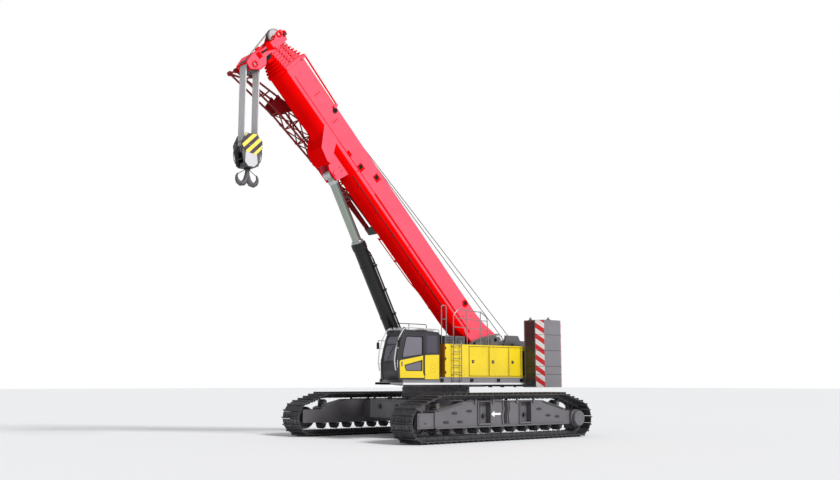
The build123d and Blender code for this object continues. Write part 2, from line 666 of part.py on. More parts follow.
def make_jib_head():
    bars = []
    for x in JIB_X:
        bars.append(bar((x, -JIB_FRONT, JIB_LOW[0]), (x, -14500, -1600), CHORD_R))
        bars.append(bar((x, -JIB_FRONT, JIB_UP[0]), (x, -14000, -1200), CHORD_R))
        bars.append(bar((x, -14000, -1200), (x, -14500, -1600), CHORD_R))
        bars.append(bar((x, -13200, -1318), (x, -13200, -920), 28))
        bars.append(slab_x([(-12900, -700), (-12100, -640), (-12350, -1180), (-12780, -1230)],
            (x - 15, x + 15)))
        bars.append(rod_x(-14500, -1600, 90, (x - 50, x + 50)))
    for y, n in ((-14500, -1600), (-14000, -1200)):
        bars.append(bar((JIB_X[0], y, n), (JIB_X[1], y, n), 35))
    return fuse(bars)


def make_jib_tail():
    """Tapered legs behind the lattice, their cross piece and the pads that rest on the boom."""
    legs = [slab_x([(-JIB_REAR - 200, -430), (-JIB_REAR - 200, -690), (-6400, -630), (-6250, -520),
        (-6400, -440)],
                   (x - 16, x + 16)) for x in JIB_X]
    cross = box((JIB_X[0] - 60, JIB_X[1] + 16), (-6560, -6300), (-600, -460))
    pads = []
    for s in (6430, 8733, 12100):
        pads.append(box((JIB_X[1] - 40, JIB_X[1] + 40), (-s - 60, -s + 60), (-600, -340)))
        pads.append(box((JIB_X[1] - 40, -BOOM_WIDE / 2 - GAP), (-s - 60, -s + 60), (-410, -340)))
    return fuse([*legs, cross, *pads])


save("fly_jib", BOOM * fuse([make_jib(), make_jib_head(), make_jib_tail()]))

# ---- Hook block ----
nose = (BOOM * Pos(0, -NOSE_S, NOSE_N)).position
HOOK_Y = nose.Y
BLOCK_AXLE = 10180
cheek = [(-430, 0), (-230, 430), (230, 430), (430, 0), (280, -700), (-280, -700)]
cheek = [(HOOK_Y + y, BLOCK_AXLE + z) for y, z in cheek]
block = fuse([
    slab_x(cheek, (-280, -240)), slab_x(cheek, (240, 280)),
    box((-280, 280), (HOOK_Y - 200, HOOK_Y + 200), (BLOCK_LOW, BLOCK_LOW + 150)),
    box((-280, 280), (HOOK_Y - 60, HOOK_Y + 60), (BLOCK_AXLE + 300, BLOCK_AXLE + 380)),
])
block -= rod_x(HOOK_Y, BLOCK_AXLE, 50.05, (-300, 300))
block -= rod_z(0, HOOK_Y, 70.05, (BLOCK_LOW - 1, BLOCK_LOW + 151))
save("hook_block", block)
block_sheaves = fuse([rod_x(HOOK_Y, BLOCK_AXLE, r, x) for r, x in (
    (50, (-280, 280)), (150, (-225, 225)), (280, (-220, -160)), (280, (-125, -65)), (280, (-30, 30)),
    (280, (65, 125)), (280, (160, 220)))])
save("block_sheaves", block_sheaves)


def make_hook():
    """A double hook: one forging with a bowl on each side of its shank."""
    y, z = HOOK_Y, HOOK_LOW
    edge = [
        Line((0, y, z - 5), (0, y, z + 450)), Line((0, y, z + 450), (0, y + 70, z + 450)),
        Line((0, y + 70, z + 450), (0, y + 70, z + 270)),
        ThreePointArc((0, y + 70, z + 270), (0, y + 185, z + 155), (0, y + 300, z + 270)),
        Line((0, y + 300, z + 270), (0, y + 335, z + 350)), Line((0, y + 335, z + 350),
            (0, y + 405, z + 300)),
        ThreePointArc((0, y + 405, z + 300), (0, y + 395, z + 110), (0, y + 240, z + 10)),
        Line((0, y + 240, z + 10), (0, y, z - 5)),
    ]
    half = extrude(make_face(Curve() + edge), amount=75, dir=(1, 0, 0), both=True)
    other = mirror(half, Plane.XZ.offset(-y))
    shank = rod_z(0, y, 70, (z + 400, BLOCK_LOW + 145))
    collar = rod_z(0, y, 110, (BLOCK_LOW - 60, BLOCK_LOW - GAP))
    return fuse([half, other, shank, collar])


save("hook", make_hook())

# ---- Ladder, guard rails and machinery on the hoods ----
HOOD_TOP = HOOD_Z + GAP
RAIL_X = 1500
RAIL_R = 20


def make_ladder():
    bars = []
    for y in (-740, -330):
        for a, b in (((DECK_X + GAP, y, 2140), (1860, y, 2140)), ((1860, y, 2140), (1860, y, 3600)),
                     ((1860, y, 3600), (1650, y, 3660)), ((1650, y, 3660), (1650, y, HOOD_TOP)),
                     ((DECK_X + GAP, y, 3420), (1860, y, 3420))):
            bars.append(bar(a, b, RAIL_R))
    bars += [bar((1860, -740, 2200 + 254 * k), (1860, -330, 2200 + 254 * k), 15) for k in range(6)]
    return fuse(bars)


def path(x, points):
    return [bar((x, *a), (x, *b), RAIL_R) for a, b in zip(points, points[1:])]


def make_left_rail():
    bars = path(RAIL_X, [(-1020, HOOD_TOP), (-1020, 4950), (-780, 4950), (-780, HOOD_TOP)])
    bars += path(RAIL_X, [(-1020, 4450), (-780, 4450)])
    bars += path(RAIL_X, [(-410, HOOD_TOP), (-410, 4620), (-180, 4860), (1050, 4800), (1420, 4600),
        (1420, HOOD_TOP)])
    for y in (300, 1020):
        bars += path(RAIL_X, [(y, HOOD_TOP), (y, 4820)])
    for y, z, top in ((-410, 4180, 1425), (-330, 4520, 1385), (-780, 4180, -410)):
        bars += path(RAIL_X, [(y, z), (top, z - 50 if y > -500 else z)])
    return fuse(bars)


def make_right_rail():
    bars = []
    for front, rear, top in ((-1000, 900, 4450), (2000, 3400, 4500)):
        bars += path(-1600, [(front, HOOD_TOP), (front, top), (rear, top), (rear, HOOD_TOP)])
        bars += path(-1600, [(front, top - 450), (rear, top - 450)])
        bars += path(-1600, [((front + rear) / 2, HOOD_TOP), ((front + rear) / 2, top)])
    return bars


save("access_ladder", make_ladder())
save("guard_rail_left", make_left_rail())
right = make_right_rail()
save("guard_rail_right", fuse(right[:5]), fuse(right[5:]))
louvred = [box(x, y, (HOOD_TOP, 3820)) for x in ((760, 1100), (1130, 1460)) for y in ((-980, -500),
    (-440, 40))]
behind_cab = box((760, 1460), (CAB_REAR + 10, -1000), (HOOD_TOP, 3860))
silencer = fuse([rod_y(-1200, 3680, 150, (1100, 2300)),
    *[box((-1300, -1100), (y, y + 90), (HOOD_TOP, 3640)) for y in (1250, 2050)],
                 rod_z(-1200, 2200, 60, (3700, 4150))])
cleaner = rod_z(-1050, -600, 160, (HOOD_TOP, 3800))
save("roof_boxes", *louvred, behind_cab, silencer, cleaner)
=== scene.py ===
"""The crawler crane's finished look: materials, fittings, ropes, floor, light and camera."""
import math

import bmesh
import bpy
from mathutils import Matrix, Vector


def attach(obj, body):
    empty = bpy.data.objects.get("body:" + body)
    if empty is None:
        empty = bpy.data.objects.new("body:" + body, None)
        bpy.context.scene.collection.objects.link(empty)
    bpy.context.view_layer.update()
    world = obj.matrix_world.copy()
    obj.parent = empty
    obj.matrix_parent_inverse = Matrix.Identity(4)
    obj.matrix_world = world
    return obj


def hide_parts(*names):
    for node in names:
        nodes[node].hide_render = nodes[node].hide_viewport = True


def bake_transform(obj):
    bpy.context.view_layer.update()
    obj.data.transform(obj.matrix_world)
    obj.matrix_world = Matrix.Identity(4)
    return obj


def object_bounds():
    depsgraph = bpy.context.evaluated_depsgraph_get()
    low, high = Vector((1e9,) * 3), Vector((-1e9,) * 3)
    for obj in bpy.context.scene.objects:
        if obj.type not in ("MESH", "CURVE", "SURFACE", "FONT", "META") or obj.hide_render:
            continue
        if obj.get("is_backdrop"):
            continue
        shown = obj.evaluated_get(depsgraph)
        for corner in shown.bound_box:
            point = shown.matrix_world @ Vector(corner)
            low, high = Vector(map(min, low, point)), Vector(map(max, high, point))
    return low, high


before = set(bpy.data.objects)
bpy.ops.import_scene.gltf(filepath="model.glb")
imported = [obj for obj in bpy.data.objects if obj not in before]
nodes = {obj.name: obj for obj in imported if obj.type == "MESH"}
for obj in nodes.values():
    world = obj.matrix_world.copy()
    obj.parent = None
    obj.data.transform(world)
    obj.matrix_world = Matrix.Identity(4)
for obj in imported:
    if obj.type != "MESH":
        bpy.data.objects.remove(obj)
cad_low, cad_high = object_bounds()

def turn_about(axis, degrees):
    return Matrix.Rotation(math.radians(degrees), 4, axis)


def moved(*place):
    return Matrix.Translation(place)


# ---- Places, in metres ----
FOOT = Vector((0, 2.33, 3.71))
BOOM = Matrix.Translation(FOOT) @ turn_about("X", -46.2)
RAM = moved(0, -1.390, 2.534) @ turn_about("X", -62.2612)
RAM_LONG = 8.1106
NOSE = BOOM @ Vector((0, -14.4, -1.45))
CROWN = BOOM @ Vector((0, -14.7, 0.15))
ACROSS = Matrix(((0, 0, 1, 0), (1, 0, 0, 0), (0, 1, 0, 0), (0, 0, 0, 1)))   # (y, z, x) to place
ALONG = Matrix(((1, 0, 0, 0), (0, 0, 1, 0), (0, 1, 0, 0), (0, 0, 0, 1)))    # (x, z, y) to place
SIDES = (("left", 1), ("right", -1))


# ---- Finishes ----
def shader(name):
    """An empty finish with its surface shader, ready for its pattern."""
    finish = bpy.data.materials.new(name)
    finish.use_nodes = True
    tree = finish.node_tree
    surface = tree.nodes["Principled BSDF"]
    place = tree.nodes.new("ShaderNodeTexCoord").outputs["Object"]
    return finish, tree, surface, place


def cloud(tree, place, scale, detail=4.0, rough=0.6):
    node = tree.nodes.new("ShaderNodeTexNoise")
    node.inputs["Scale"].default_value = scale
    node.inputs["Detail"].default_value = detail
    node.inputs["Roughness"].default_value = rough
    tree.links.new(place, node.inputs["Vector"])
    return node.outputs["Fac"]


def spread(tree, value, low, high, start=0.3, end=0.7):
    node = tree.nodes.new("ShaderNodeMapRange")
    node.inputs["From Min"].default_value = start
    node.inputs["From Max"].default_value = end
    node.inputs["To Min"].default_value = low
    node.inputs["To Max"].default_value = high
    tree.links.new(value, node.inputs["Value"])
    return node.outputs["Result"]


def blend_colours(tree, fac, a, b):
    node = tree.nodes.new("ShaderNodeMix")
    node.data_type = "RGBA"
    if isinstance(fac, float):
        node.inputs["Factor"].default_value = fac
    else:
        tree.links.new(fac, node.inputs["Factor"])
    for socket, colour in ((node.inputs["A"], a), (node.inputs["B"], b)):
        if isinstance(colour, tuple):
            socket.default_value = (*colour, 1)
        else:
            tree.links.new(colour, socket)
    return node.outputs["Result"]


def raise_grain(tree, surface, height, depth, strength=0.4):
    node = tree.nodes.new("ShaderNodeBump")
    node.inputs["Strength"].default_value = strength
    node.inputs["Distance"].default_value = depth
    tree.links.new(height, node.inputs["Height"])
    tree.links.new(node.outputs["Normal"], surface.inputs["Normal"])


def paint(name, colour, rough=0.35, coat=0.4, dust=0.12, metal=0.0, grain=60.0, depth=0.0006, glint=0.5):
    """Sprayed paint: a slow drift of tone, dust in patches and a fine orange peel."""
    finish, tree, surface, place = shader(name)
    darker = tuple(c * 0.86 for c in colour)
    dusty = tuple(c * 0.8 + 0.2 * d for c, d in zip(colour, (0.42, 0.39, 0.36)))
    tone = blend_colours(tree, spread(tree, cloud(tree, place, 0.9, 3), 0.0, 1.0), darker, colour)
    specks = spread(tree, cloud(tree, place, 7.0, 8, 0.7), 0.0, dust, 0.45, 0.75)
    tree.links.new(blend_colours(tree, specks, tone, dusty), surface.inputs["Base Color"])
    shine = spread(tree, cloud(tree, place, 3.0, 5), rough * 0.8, min(rough * 1.3, 0.95))
    tree.links.new(shine, surface.inputs["Roughness"])
    surface.inputs["Metallic"].default_value = metal
    surface.inputs["Specular IOR Level"].default_value = glint
    surface.inputs["Coat Weight"].default_value = coat
    surface.inputs["Coat Roughness"].default_value = 0.12
    raise_grain(tree, surface, cloud(tree, place, grain, 3), depth)
    return finish


def cast(name, colour, rough=0.6, metal=0.4, scale=35.0):
    """Bare or lightly painted castings: mottled tone, pitted skin."""
    finish, tree, surface, place = shader(name)
    pale = tuple(min(1.0, c * 1.9 + 0.02) for c in colour)
    mottle = spread(tree, cloud(tree, place, 4.5, 8, 0.75), 0.0, 0.6, 0.42, 0.72)
    tree.links.new(blend_colours(tree, mottle, colour, pale), surface.inputs["Base Color"])
    tree.links.new(spread(tree, cloud(tree, place, 11.0, 6), rough * 0.75, min(rough * 1.25, 0.95)),
        surface.inputs["Roughness"])
    surface.inputs["Metallic"].default_value = metal
    raise_grain(tree, surface, cloud(tree, place, scale, 9, 0.7), 0.002, 0.5)
    return finish


def plated(name, colour, rough, streak=(2.0, 2.0, 60.0), metal=1.0):
    """Drawn or plated metal with fine streaks along one way."""
    finish, tree, surface, place = shader(name)
    turn = tree.nodes.new("ShaderNodeMapping")
    turn.inputs["Scale"].default_value = streak
    tree.links.new(place, turn.inputs["Vector"])
    lines = cloud(tree, turn.outputs["Vector"], 8.0, 4)
    shade = tuple(c * 0.82 for c in colour)
    tree.links.new(blend_colours(tree, spread(tree, lines, 0.0, 1.0), shade, colour),
        surface.inputs["Base Color"])
    tree.links.new(spread(tree, lines, rough * 0.7, rough * 1.4), surface.inputs["Roughness"])
    surface.inputs["Metallic"].default_value = metal
    raise_grain(tree, surface, lines, 0.0003, 0.25)
    return finish


def striped(name, bright, dark, pitch, lean, share=0.5, along="y"):
    """Slanted warning stripes: bands of two paints across one face."""
    finish, tree, surface, place = shader(name)
    split = tree.nodes.new("ShaderNodeSeparateXYZ")
    tree.links.new(place, split.inputs["Vector"])
    side = tree.nodes.new("ShaderNodeMath")
    side.operation = "MULTIPLY_ADD"
    tree.links.new(split.outputs[along.upper()], side.inputs[0])
    side.inputs[1].default_value = lean
    tree.links.new(split.outputs["Z"], side.inputs[2])
    turns = tree.nodes.new("ShaderNodeMath")
    turns.operation = "DIVIDE"
    tree.links.new(side.outputs[0], turns.inputs[0])
    turns.inputs[1].default_value = pitch
    saw = tree.nodes.new("ShaderNodeMath")
    saw.operation = "FRACT"
    tree.links.new(turns.outputs[0], saw.inputs[0])
    step = tree.nodes.new("ShaderNodeMath")
    step.operation = "GREATER_THAN"
    tree.links.new(saw.outputs[0], step.inputs[0])
    step.inputs[1].default_value = share
    stripes = blend_colours(tree, step.outputs[0], bright, dark)
    grime = spread(tree, cloud(tree, place, 8.0, 7, 0.7), 0.0, 0.14, 0.45, 0.75)
    tree.links.new(blend_colours(tree, grime, stripes, (0.3, 0.28, 0.27)), surface.inputs["Base Color"])
    tree.links.new(spread(tree, cloud(tree, place, 3.0, 5), 0.3, 0.5), surface.inputs["Roughness"])
    raise_grain(tree, surface, cloud(tree, place, 60.0, 3), 0.0005)
    return finish


def pane(name, colour, through=0.6):
    """Tinted window glass with faint smears."""
    finish, tree, surface, place = shader(name)
    surface.inputs["Base Color"].default_value = (*colour, 1)
    surface.inputs["Transmission Weight"].default_value = through
    surface.inputs["IOR"].default_value = 1.45
    tree.links.new(spread(tree, cloud(tree, place, 5.0, 6), 0.02, 0.09), surface.inputs["Roughness"])
    return finish


def stranded(name, colour, metal=0.5):
    """Wire rope: a tight slanted lay of bright and dark strands."""
    finish, tree, surface, place = shader(name)
    lay = tree.nodes.new("ShaderNodeTexWave")
    lay.bands_direction = "DIAGONAL"
    lay.inputs["Scale"].default_value = 22.0
    lay.inputs["Distortion"].default_value = 0.4
    tree.links.new(place, lay.inputs["Vector"])
    shade = tuple(c * 0.45 for c in colour)
    tree.links.new(blend_colours(tree, lay.outputs["Fac"], shade, colour), surface.inputs["Base Color"])
    surface.inputs["Metallic"].default_value = metal
    tree.links.new(spread(tree, cloud(tree, place, 9.0), 0.35, 0.6), surface.inputs["Roughness"])
    raise_grain(tree, surface, lay.outputs["Fac"], 0.003, 0.6)
    return finish


def woven(name, colour):
    """Coarse seat cloth."""
    finish, tree, surface, place = shader(name)
    weave = tree.nodes.new("ShaderNodeTexVoronoi")
    weave.inputs["Scale"].default_value = 260.0
    tree.links.new(place, weave.inputs["Vector"])
    pale = tuple(c * 1.8 for c in colour)
    tree.links.new(blend_colours(tree, weave.outputs["Distance"], colour, pale), surface.inputs["Base Color"])
    tree.links.new(spread(tree, cloud(tree, place, 20.0), 0.8, 0.95), surface.inputs["Roughness"])
    surface.inputs["Sheen Weight"].default_value = 0.3
    raise_grain(tree, surface, weave.outputs["Distance"], 0.001, 0.6)
    return finish


RED = paint("boom_red", (0.88, 0.002, 0.002), 0.6, 0.0, 0.0, glint=0.0)
# The flank paint is the boom red lifted to pink: a painted sheen standing for the bright reflection on the boom's
# flat sides.
FLANK_SHEEN_RED = paint("boom_flank_painted_sheen", (0.90, 0.085, 0.140), 0.36, 0.3, 0.04)
DARK_RED = paint("jib_red", (0.24, 0.005, 0.009), 0.45, 0.1, 0.05, glint=0.25)
YELLOW = paint("hood_yellow", (0.90, 0.66, 0.012), 0.32, 0.5, 0.06)
# Yellow darkened to amber: painted shade on the hood's front face, and the trim of the small hatch on the cab side.
AMBER_AND_HOOD_SHADE = paint("amber_trim_and_hood_front_shade", (0.80, 0.30, 0.010), 0.4, 0.3, 0.08)
GREY = paint("machine_grey", (0.125, 0.118, 0.128), 0.45, 0.2, 0.14)
PALE_GREY = paint("weight_grey", (0.19, 0.18, 0.195), 0.5, 0.15, 0.12)
DECK_GREY = paint("deck_grey", (0.235, 0.222, 0.245), 0.45, 0.2, 0.12)
DARK = paint("frame_dark", (0.030, 0.028, 0.033), 0.45, 0.2, 0.12)
BLACK = paint("gloss_black", (0.005, 0.005, 0.006), 0.3, 0.15, 0.02, glint=0.3)
WHITE = paint("stripe_white", (0.86, 0.85, 0.84), 0.4, 0.2, 0.05)
STEEL = plated("bright_steel", (0.55, 0.56, 0.58), 0.28)
ZINC = plated("zinc_rail", (0.30, 0.30, 0.31), 0.42, metal=0.7)
CHROME = plated("rod_chrome", (0.34, 0.38, 0.34), 0.16)
PALE_BAR = paint("guard_white", (0.62, 0.61, 0.62), 0.35, 0.3, 0.06)
TRACK = cast("track_iron", (0.062, 0.060, 0.064), 0.5, 0.5)
RING = cast("ring_casting", (0.22, 0.205, 0.22), 0.55, 0.2)
CASTING = cast("grey_casting", (0.085, 0.080, 0.088), 0.6, 0.3)
GLASS = pane("smoked_glass", (0.36, 0.34, 0.40), 0.55)
TINT = pane("dark_glass", (0.10, 0.09, 0.115), 0.2)
ROPE = stranded("wire_rope", (0.42, 0.42, 0.43))
FALL_ROPE = stranded("bright_rope", (0.92, 0.91, 0.92), 0.0)
DARK_ROPE = stranded("greased_rope", (0.10, 0.095, 0.09))
CLOTH = woven("seat_cloth", (0.020, 0.020, 0.024))
STRIPES = striped("red_white_bands", (0.85, 0.84, 0.83), (0.72, 0.012, 0.02), 0.42, 1.4)
HAZARD = striped("yellow_black_bands", (0.92, 0.72, 0.10), (0.050, 0.036, 0.056), 0.36, -1.0)
LAMP = pane("lamp_lens", (0.95, 0.93, 0.88), 0.4)


# ---- Making ----
def closed(bm):
    bmesh.ops.remove_doubles(bm, verts=bm.verts, dist=1e-5)
    bmesh.ops.recalc_face_normals(bm, faces=bm.faces)


def piece(name, bm, body, finishes, place=None, round_edge=0.0, tidy=True, replaces=()):
    """Turns a bmesh into one piece that rides on a body, its edges eased and its round faces smooth."""
    if tidy:
        closed(bm)
    if place is not None:
        bmesh.ops.transform(bm, matrix=place, verts=bm.verts)
    mesh = bpy.data.meshes.new(name)
    bm.to_mesh(mesh)
    bm.free()
    mesh.shade_smooth()
    mesh.set_sharp_from_angle(angle=math.radians(38))
    for finish in finishes if isinstance(finishes, (list, tuple)) else [finishes]:
        mesh.materials.append(finish)
    made = bpy.data.objects.new(name, mesh)
    bpy.context.scene.collection.objects.link(made)
    if round_edge:
        eased = made.modifiers.new("eased_edges", "BEVEL")
        eased.width = round_edge
        eased.segments = 2
        eased.limit_method = "ANGLE"
        eased.angle_limit = math.radians(40)
        eased.harden_normals = True
    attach(made, body)
    if replaces:
        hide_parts(*replaces)
    return made


def tint(bm, before, index):
    """Gives every face that wasn't there before its finish."""
    for face in bm.faces:
        if face not in before:
            face.material_index = index


def block(bm, low, high, finish=0):
    """A box between two corners."""
    before = set(bm.faces)
    low, high = Vector(low), Vector(high)
    size = Matrix.Diagonal((*[abs(v) for v in high - low], 1))
    bmesh.ops.create_cube(bm, size=1, matrix=Matrix.Translation((low + high) / 2) @ size)
    tint(bm, before, finish)


def aim(a, b):
    """The matrix that puts a shape made about Z between two points."""
    a, b = Vector(a), Vector(b)
    turn = (b - a).to_track_quat("Z", "Y").to_matrix().to_4x4()
    return Matrix.Translation((a + b) / 2) @ turn


def rod(bm, a, b, r, sides=12, finish=0, r_end=None):
    """A round bar or cone between two points."""
    before = set(bm.faces)
    long = (Vector(b) - Vector(a)).length
    bmesh.ops.create_cone(bm, cap_ends=True, segments=sides, radius1=r,
                          radius2=r if r_end is None else r_end, depth=long, matrix=aim(a, b))
    tint(bm, before, finish)


def ball(bm, at, r, finish=0):
    before = set(bm.faces)
    bmesh.ops.create_icosphere(bm, subdivisions=2, radius=r, matrix=Matrix.Translation(at))
    tint(bm, before, finish)


def plate(bm, outline, span, way=ACROSS, finish=0):
    """A plate from its outline, extruded over a span; way turns (u, v, thickness) to the place."""
    before = set(bm.faces)
    corners = [bm.verts.new(way @ Vector((u, v, span[0]))) for u, v in outline]
    face = bm.faces.new(corners)
    grown = bmesh.ops.extrude_face_region(bm, geom=[face])["geom"]
    verts = [g for g in grown if isinstance(g, bmesh.types.BMVert)]
    shift = (way.to_3x3() @ Vector((0, 0, span[1] - span[0])))
    bmesh.ops.translate(bm, vec=shift, verts=verts)
    tint(bm, before, finish)


def pipe(bm, points, r, sides=8, bend=0.0, finish=0):
    """A round bar along straight runs whose corners are turned through a bend."""
    kept = set(bm.faces)
    points = [Vector(p) for p in points]
    path = [points[0]]
    for before, at, after in zip(points, points[1:], points[2:]):
        near, far = (before - at).normalized(), (after - at).normalized()
        cut = min(bend, (before - at).length * 0.45, (after - at).length * 0.45)
        if cut < 1e-4:
            path.append(at)
            continue
        for k in range(5):
            t = k / 4
            path.append(at + near * cut * (1 - t) ** 2 + far * cut * t ** 2)
    path.append(points[-1])
    ways = [(b - a).normalized() for a, b in zip(path, path[1:])]
    lean = [ways[0]] + [(a + b).normalized() for a, b in zip(ways, ways[1:])] + [ways[-1]]
    turn = lean[0].to_track_quat("Z", "Y")
    spot = Matrix.Translation(path[0]) @ turn.to_matrix().to_4x4()
    ring = bmesh.ops.create_circle(bm, cap_ends=True, radius=r, segments=sides, matrix=spot)
    end = ring["verts"][0].link_faces[0]
    for at, way, last in zip(path[1:], lean[1:], lean):
        turn = last.rotation_difference(way) @ turn
        fresh = Matrix.Translation(at) @ turn.to_matrix().to_4x4()
        grown = bmesh.ops.extrude_face_region(bm, geom=[end])["geom"]
        end = [g for g in grown if isinstance(g, bmesh.types.BMFace)][0]
        bmesh.ops.transform(bm, matrix=fresh @ spot.inverted(), verts=end.verts)
        spot = fresh
    tint(bm, kept, finish)


def turned(bm, profile, place, steps=40, finish=0):
    """A turned shape: a closed profile of (radius, height) spun about the place's own Z."""
    before, corners_before = set(bm.faces), set(bm.verts)
    corners = [bm.verts.new((r, 0, h)) for r, h in profile]
    loop = [bm.edges.new(pair) for pair in zip(corners, corners[1:] + corners[:1])]
    bmesh.ops.spin(bm, geom=corners + loop, axis=(0, 0, 1), cent=(0, 0, 0),
                   angle=2 * math.pi, steps=steps, use_merge=True)
    bmesh.ops.transform(bm, matrix=place, verts=[v for v in bm.verts if v not in corners_before])
    tint(bm, before, finish)


def facing_x(x, y, z):
    """A turned shape's place with its axis across the machine."""
    return moved(x, y, z) @ turn_about("Y", 90)


def bolts(bm, spots, r=0.022, high=0.018, way=(1, 0, 0), finish=0):
    """Hexagon heads standing out one way."""
    for spot in spots:
        rod(bm, spot, Vector(spot) + Vector(way) * high, r, 6, finish)


def circle_of(count, r, start=0.0):
    for k in range(count):
        a = start + 2 * math.pi * k / count
        yield r * math.cos(a), r * math.sin(a)


# ---- Tracks ----
WHEELS = [(3.98, 0.71, 0.61), (3.10, 1.31, 0.30), (-3.05, 1.31, 0.30), (-3.88, 0.71, 0.61)]
SHOES = 76
TRACK_X = 3.375


def belt():
    """The track's path round its wheels: (length, place at a distance) of each arc and run."""
    leave, runs = [], []
    for i, (y, z, r) in enumerate(WHEELS):
        y2, z2, r2 = WHEELS[(i + 1) % len(WHEELS)]
        slope = math.asin((r - r2) / math.hypot(y2 - y, z2 - z))
        leave.append(math.atan2(z2 - z, y2 - y) - math.pi / 2 + slope)
    for i, (y, z, r) in enumerate(WHEELS):
        start, end = leave[i - 1], leave[i]
        while end < start:
            end += 2 * math.pi
        runs.append((r * (end - start), (y, z, r, start), None))
        y2, z2, r2 = WHEELS[(i + 1) % len(WHEELS)]
        a = Vector((y + r * math.cos(end), z + r * math.sin(end)))
        b = Vector((y2 + r2 * math.cos(end), z2 + r2 * math.sin(end)))
        runs.append(((b - a).length, (a, b, end), True))
    return runs


BELT = belt()
BELT_LONG = sum(run[0] for run in BELT)
PITCH = BELT_LONG / SHOES


def on_belt(distance):
    """(y, z, outward angle) a given way round the track."""
    distance %= BELT_LONG
    for long, facts, straight in BELT:
        if distance <= long:
            if straight:
                a, b, angle = facts
                at = a.lerp(b, distance / long)
                return at.x, at.y, angle
            y, z, r, start = facts
            angle = start + distance / r
            return y + r * math.cos(angle), z + r * math.sin(angle), angle
        distance -= long


def shoe_mesh():
    """One shoe with its ribs and bolts on two chain links; z is outwards, y along the track."""
    bm = bmesh.new()
    half = PITCH / 2
    plate(bm, [(-half * 0.93, 0.0), (half * 0.90, 0.0), (half * 1.02, 0.012), (half * 1.02, 0.036),
        (half * 0.6, 0.030),
               (-half * 0.55, 0.030), (-half * 0.62, 0.098), (-half * 0.80, 0.098), (-half * 0.93, 0.045)],
          (-0.575, 0.575))
    for x in (-0.40, 0.0, 0.40):
        block(bm, (x - 0.012, -half * 0.60, 0.028), (x + 0.012, half * 0.55, 0.050))
    for x in (-0.16, 0.16):
        for y in (-half * 0.25, half * 0.45):
            rod(bm, (x, y, 0.028), (x, y, 0.052), 0.024, 6)
    for x in (-0.125, 0.125):
        plate(bm, [(-half * 1.15, -0.10), (-half * 0.7, -0.155), (-half * 0.1, -0.110),
            (half * 0.5, -0.150), (half * 1.1, -0.085),
                   (half * 0.8, -0.004), (-half * 0.8, -0.004)], (x - 0.022, x + 0.022))
    rod(bm, (-0.15, -half * 0.9, -0.085), (0.15, -half * 0.9, -0.085), 0.034, 10)
    block(bm, (-0.05, -half * 0.5, -0.12), (0.05, half * 0.4, 0.0))
    closed(bm)
    mesh = bpy.data.meshes.new("one_shoe")
    bm.to_mesh(mesh)
    bm.free()
    return mesh


one_shoe = shoe_mesh()
for name, side in SIDES:
    bm = bmesh.new()
    for k in range(SHOES):
        y, z, angle = on_belt((k + 0.5) * PITCH)
        count = len(bm.verts)
        bm.from_mesh(one_shoe)
        bm.verts.ensure_lookup_table()
        spot = moved(side * TRACK_X, y, z) @ Matrix.Rotation(angle - math.pi / 2, 4, "X")
        bmesh.ops.transform(bm, matrix=spot, verts=bm.verts[count:])
    piece(f"{name}_track_shoes", bm, "undercarriage", TRACK, tidy=False,
        replaces=[f"track_{name}"])


def idler_wheel(bm, x, y, z):
    """A twin-tread idler: dished web, rims and hub."""
    turned(bm, [(0.10, -0.20), (0.15, -0.20), (0.17, -0.07), (0.34, -0.05), (0.36, -0.11), (0.40, -0.11),
        (0.41, -0.05),
                (0.43, -0.04), (0.43, 0.04), (0.41, 0.05), (0.40, 0.11), (0.36, 0.11), (0.34,
                    0.05), (0.17, 0.07),
                (0.15, 0.20), (0.10, 0.20)], facing_x(x, y, z), 48)
    for a, b in circle_of(8, 0.25):
        rod(bm, (x - 0.09, y + a, z + b), (x + 0.09, y + a, z + b), 0.03, 8)


def sprocket_wheel(bm, x, y, z):
    """A drive sprocket: a toothed ring on a stepped hub."""
    turned(bm, [(0.10, -0.17), (0.26, -0.17), (0.28, -0.09), (0.36, -0.07), (0.385, -0.05), (0.385, 0.05),
        (0.36, 0.07),
                (0.28, 0.09), (0.26, 0.17), (0.10, 0.17)], facing_x(x, y, z), 48)
    teeth = round(2 * math.pi * 0.46 / PITCH * 1.0)
    for k in range(teeth):
        a = 2 * math.pi * (k + 0.5) / teeth
        spot = moved(x, y, z) @ Matrix.Rotation(a, 4, "X") @ ACROSS
        plate(bm, [(-0.075, 0.365), (0.075, 0.365), (0.035, 0.455), (-0.035, 0.455)], (-0.05, 0.05), spot)
    for a, b in circle_of(16, 0.22):
        rod(bm, (x - 0.185, y + a, z + b), (x + 0.185, y + a, z + b), 0.02, 6)


wheels, drives, rollers = bmesh.new(), bmesh.new(), bmesh.new()
for name, side in SIDES:
    x = side * TRACK_X
    idler_wheel(wheels, x, -3.88, 0.71)
    sprocket_wheel(drives, x, 3.98, 0.71)
    for k in range(11):
        y = -3.10 + 0.63 * k
        turned(rollers, [(0.045, -0.19), (0.085, -0.19), (0.113, -0.15), (0.113, -0.115), (0.09, -0.10),
            (0.09, -0.05),
                         (0.112, -0.035), (0.112, 0.035), (0.09, 0.05), (0.09, 0.10), (0.113,
                             0.115), (0.113, 0.15),
                         (0.085, 0.19), (0.045, 0.19)], facing_x(x, y, 0.385), 20)
        for end in (-1, 1):
            plate(rollers, [(y - 0.10, 0.49), (y - 0.05, 0.33), (y + 0.05, 0.33), (y + 0.10, 0.49)],
                  (x + end * 0.225 - 0.02, x + end * 0.225 + 0.02))
            rod(rollers, (x + end * 0.18, y, 0.385), (x + end * 0.262, y, 0.385), 0.04, 10)
    for y in (3.10, -3.05):
        turned(rollers, [(0.03, -0.17), (0.08, -0.17), (0.11, -0.13), (0.11, -0.06), (0.085, -0.04),
            (0.085, 0.04),
                         (0.11, 0.06), (0.11, 0.13), (0.08, 0.17), (0.03, 0.17)], facing_x(x, y, 1.31), 24)
piece("idler_wheels", wheels, "undercarriage", CASTING, round_edge=0.006, replaces=["idlers"])
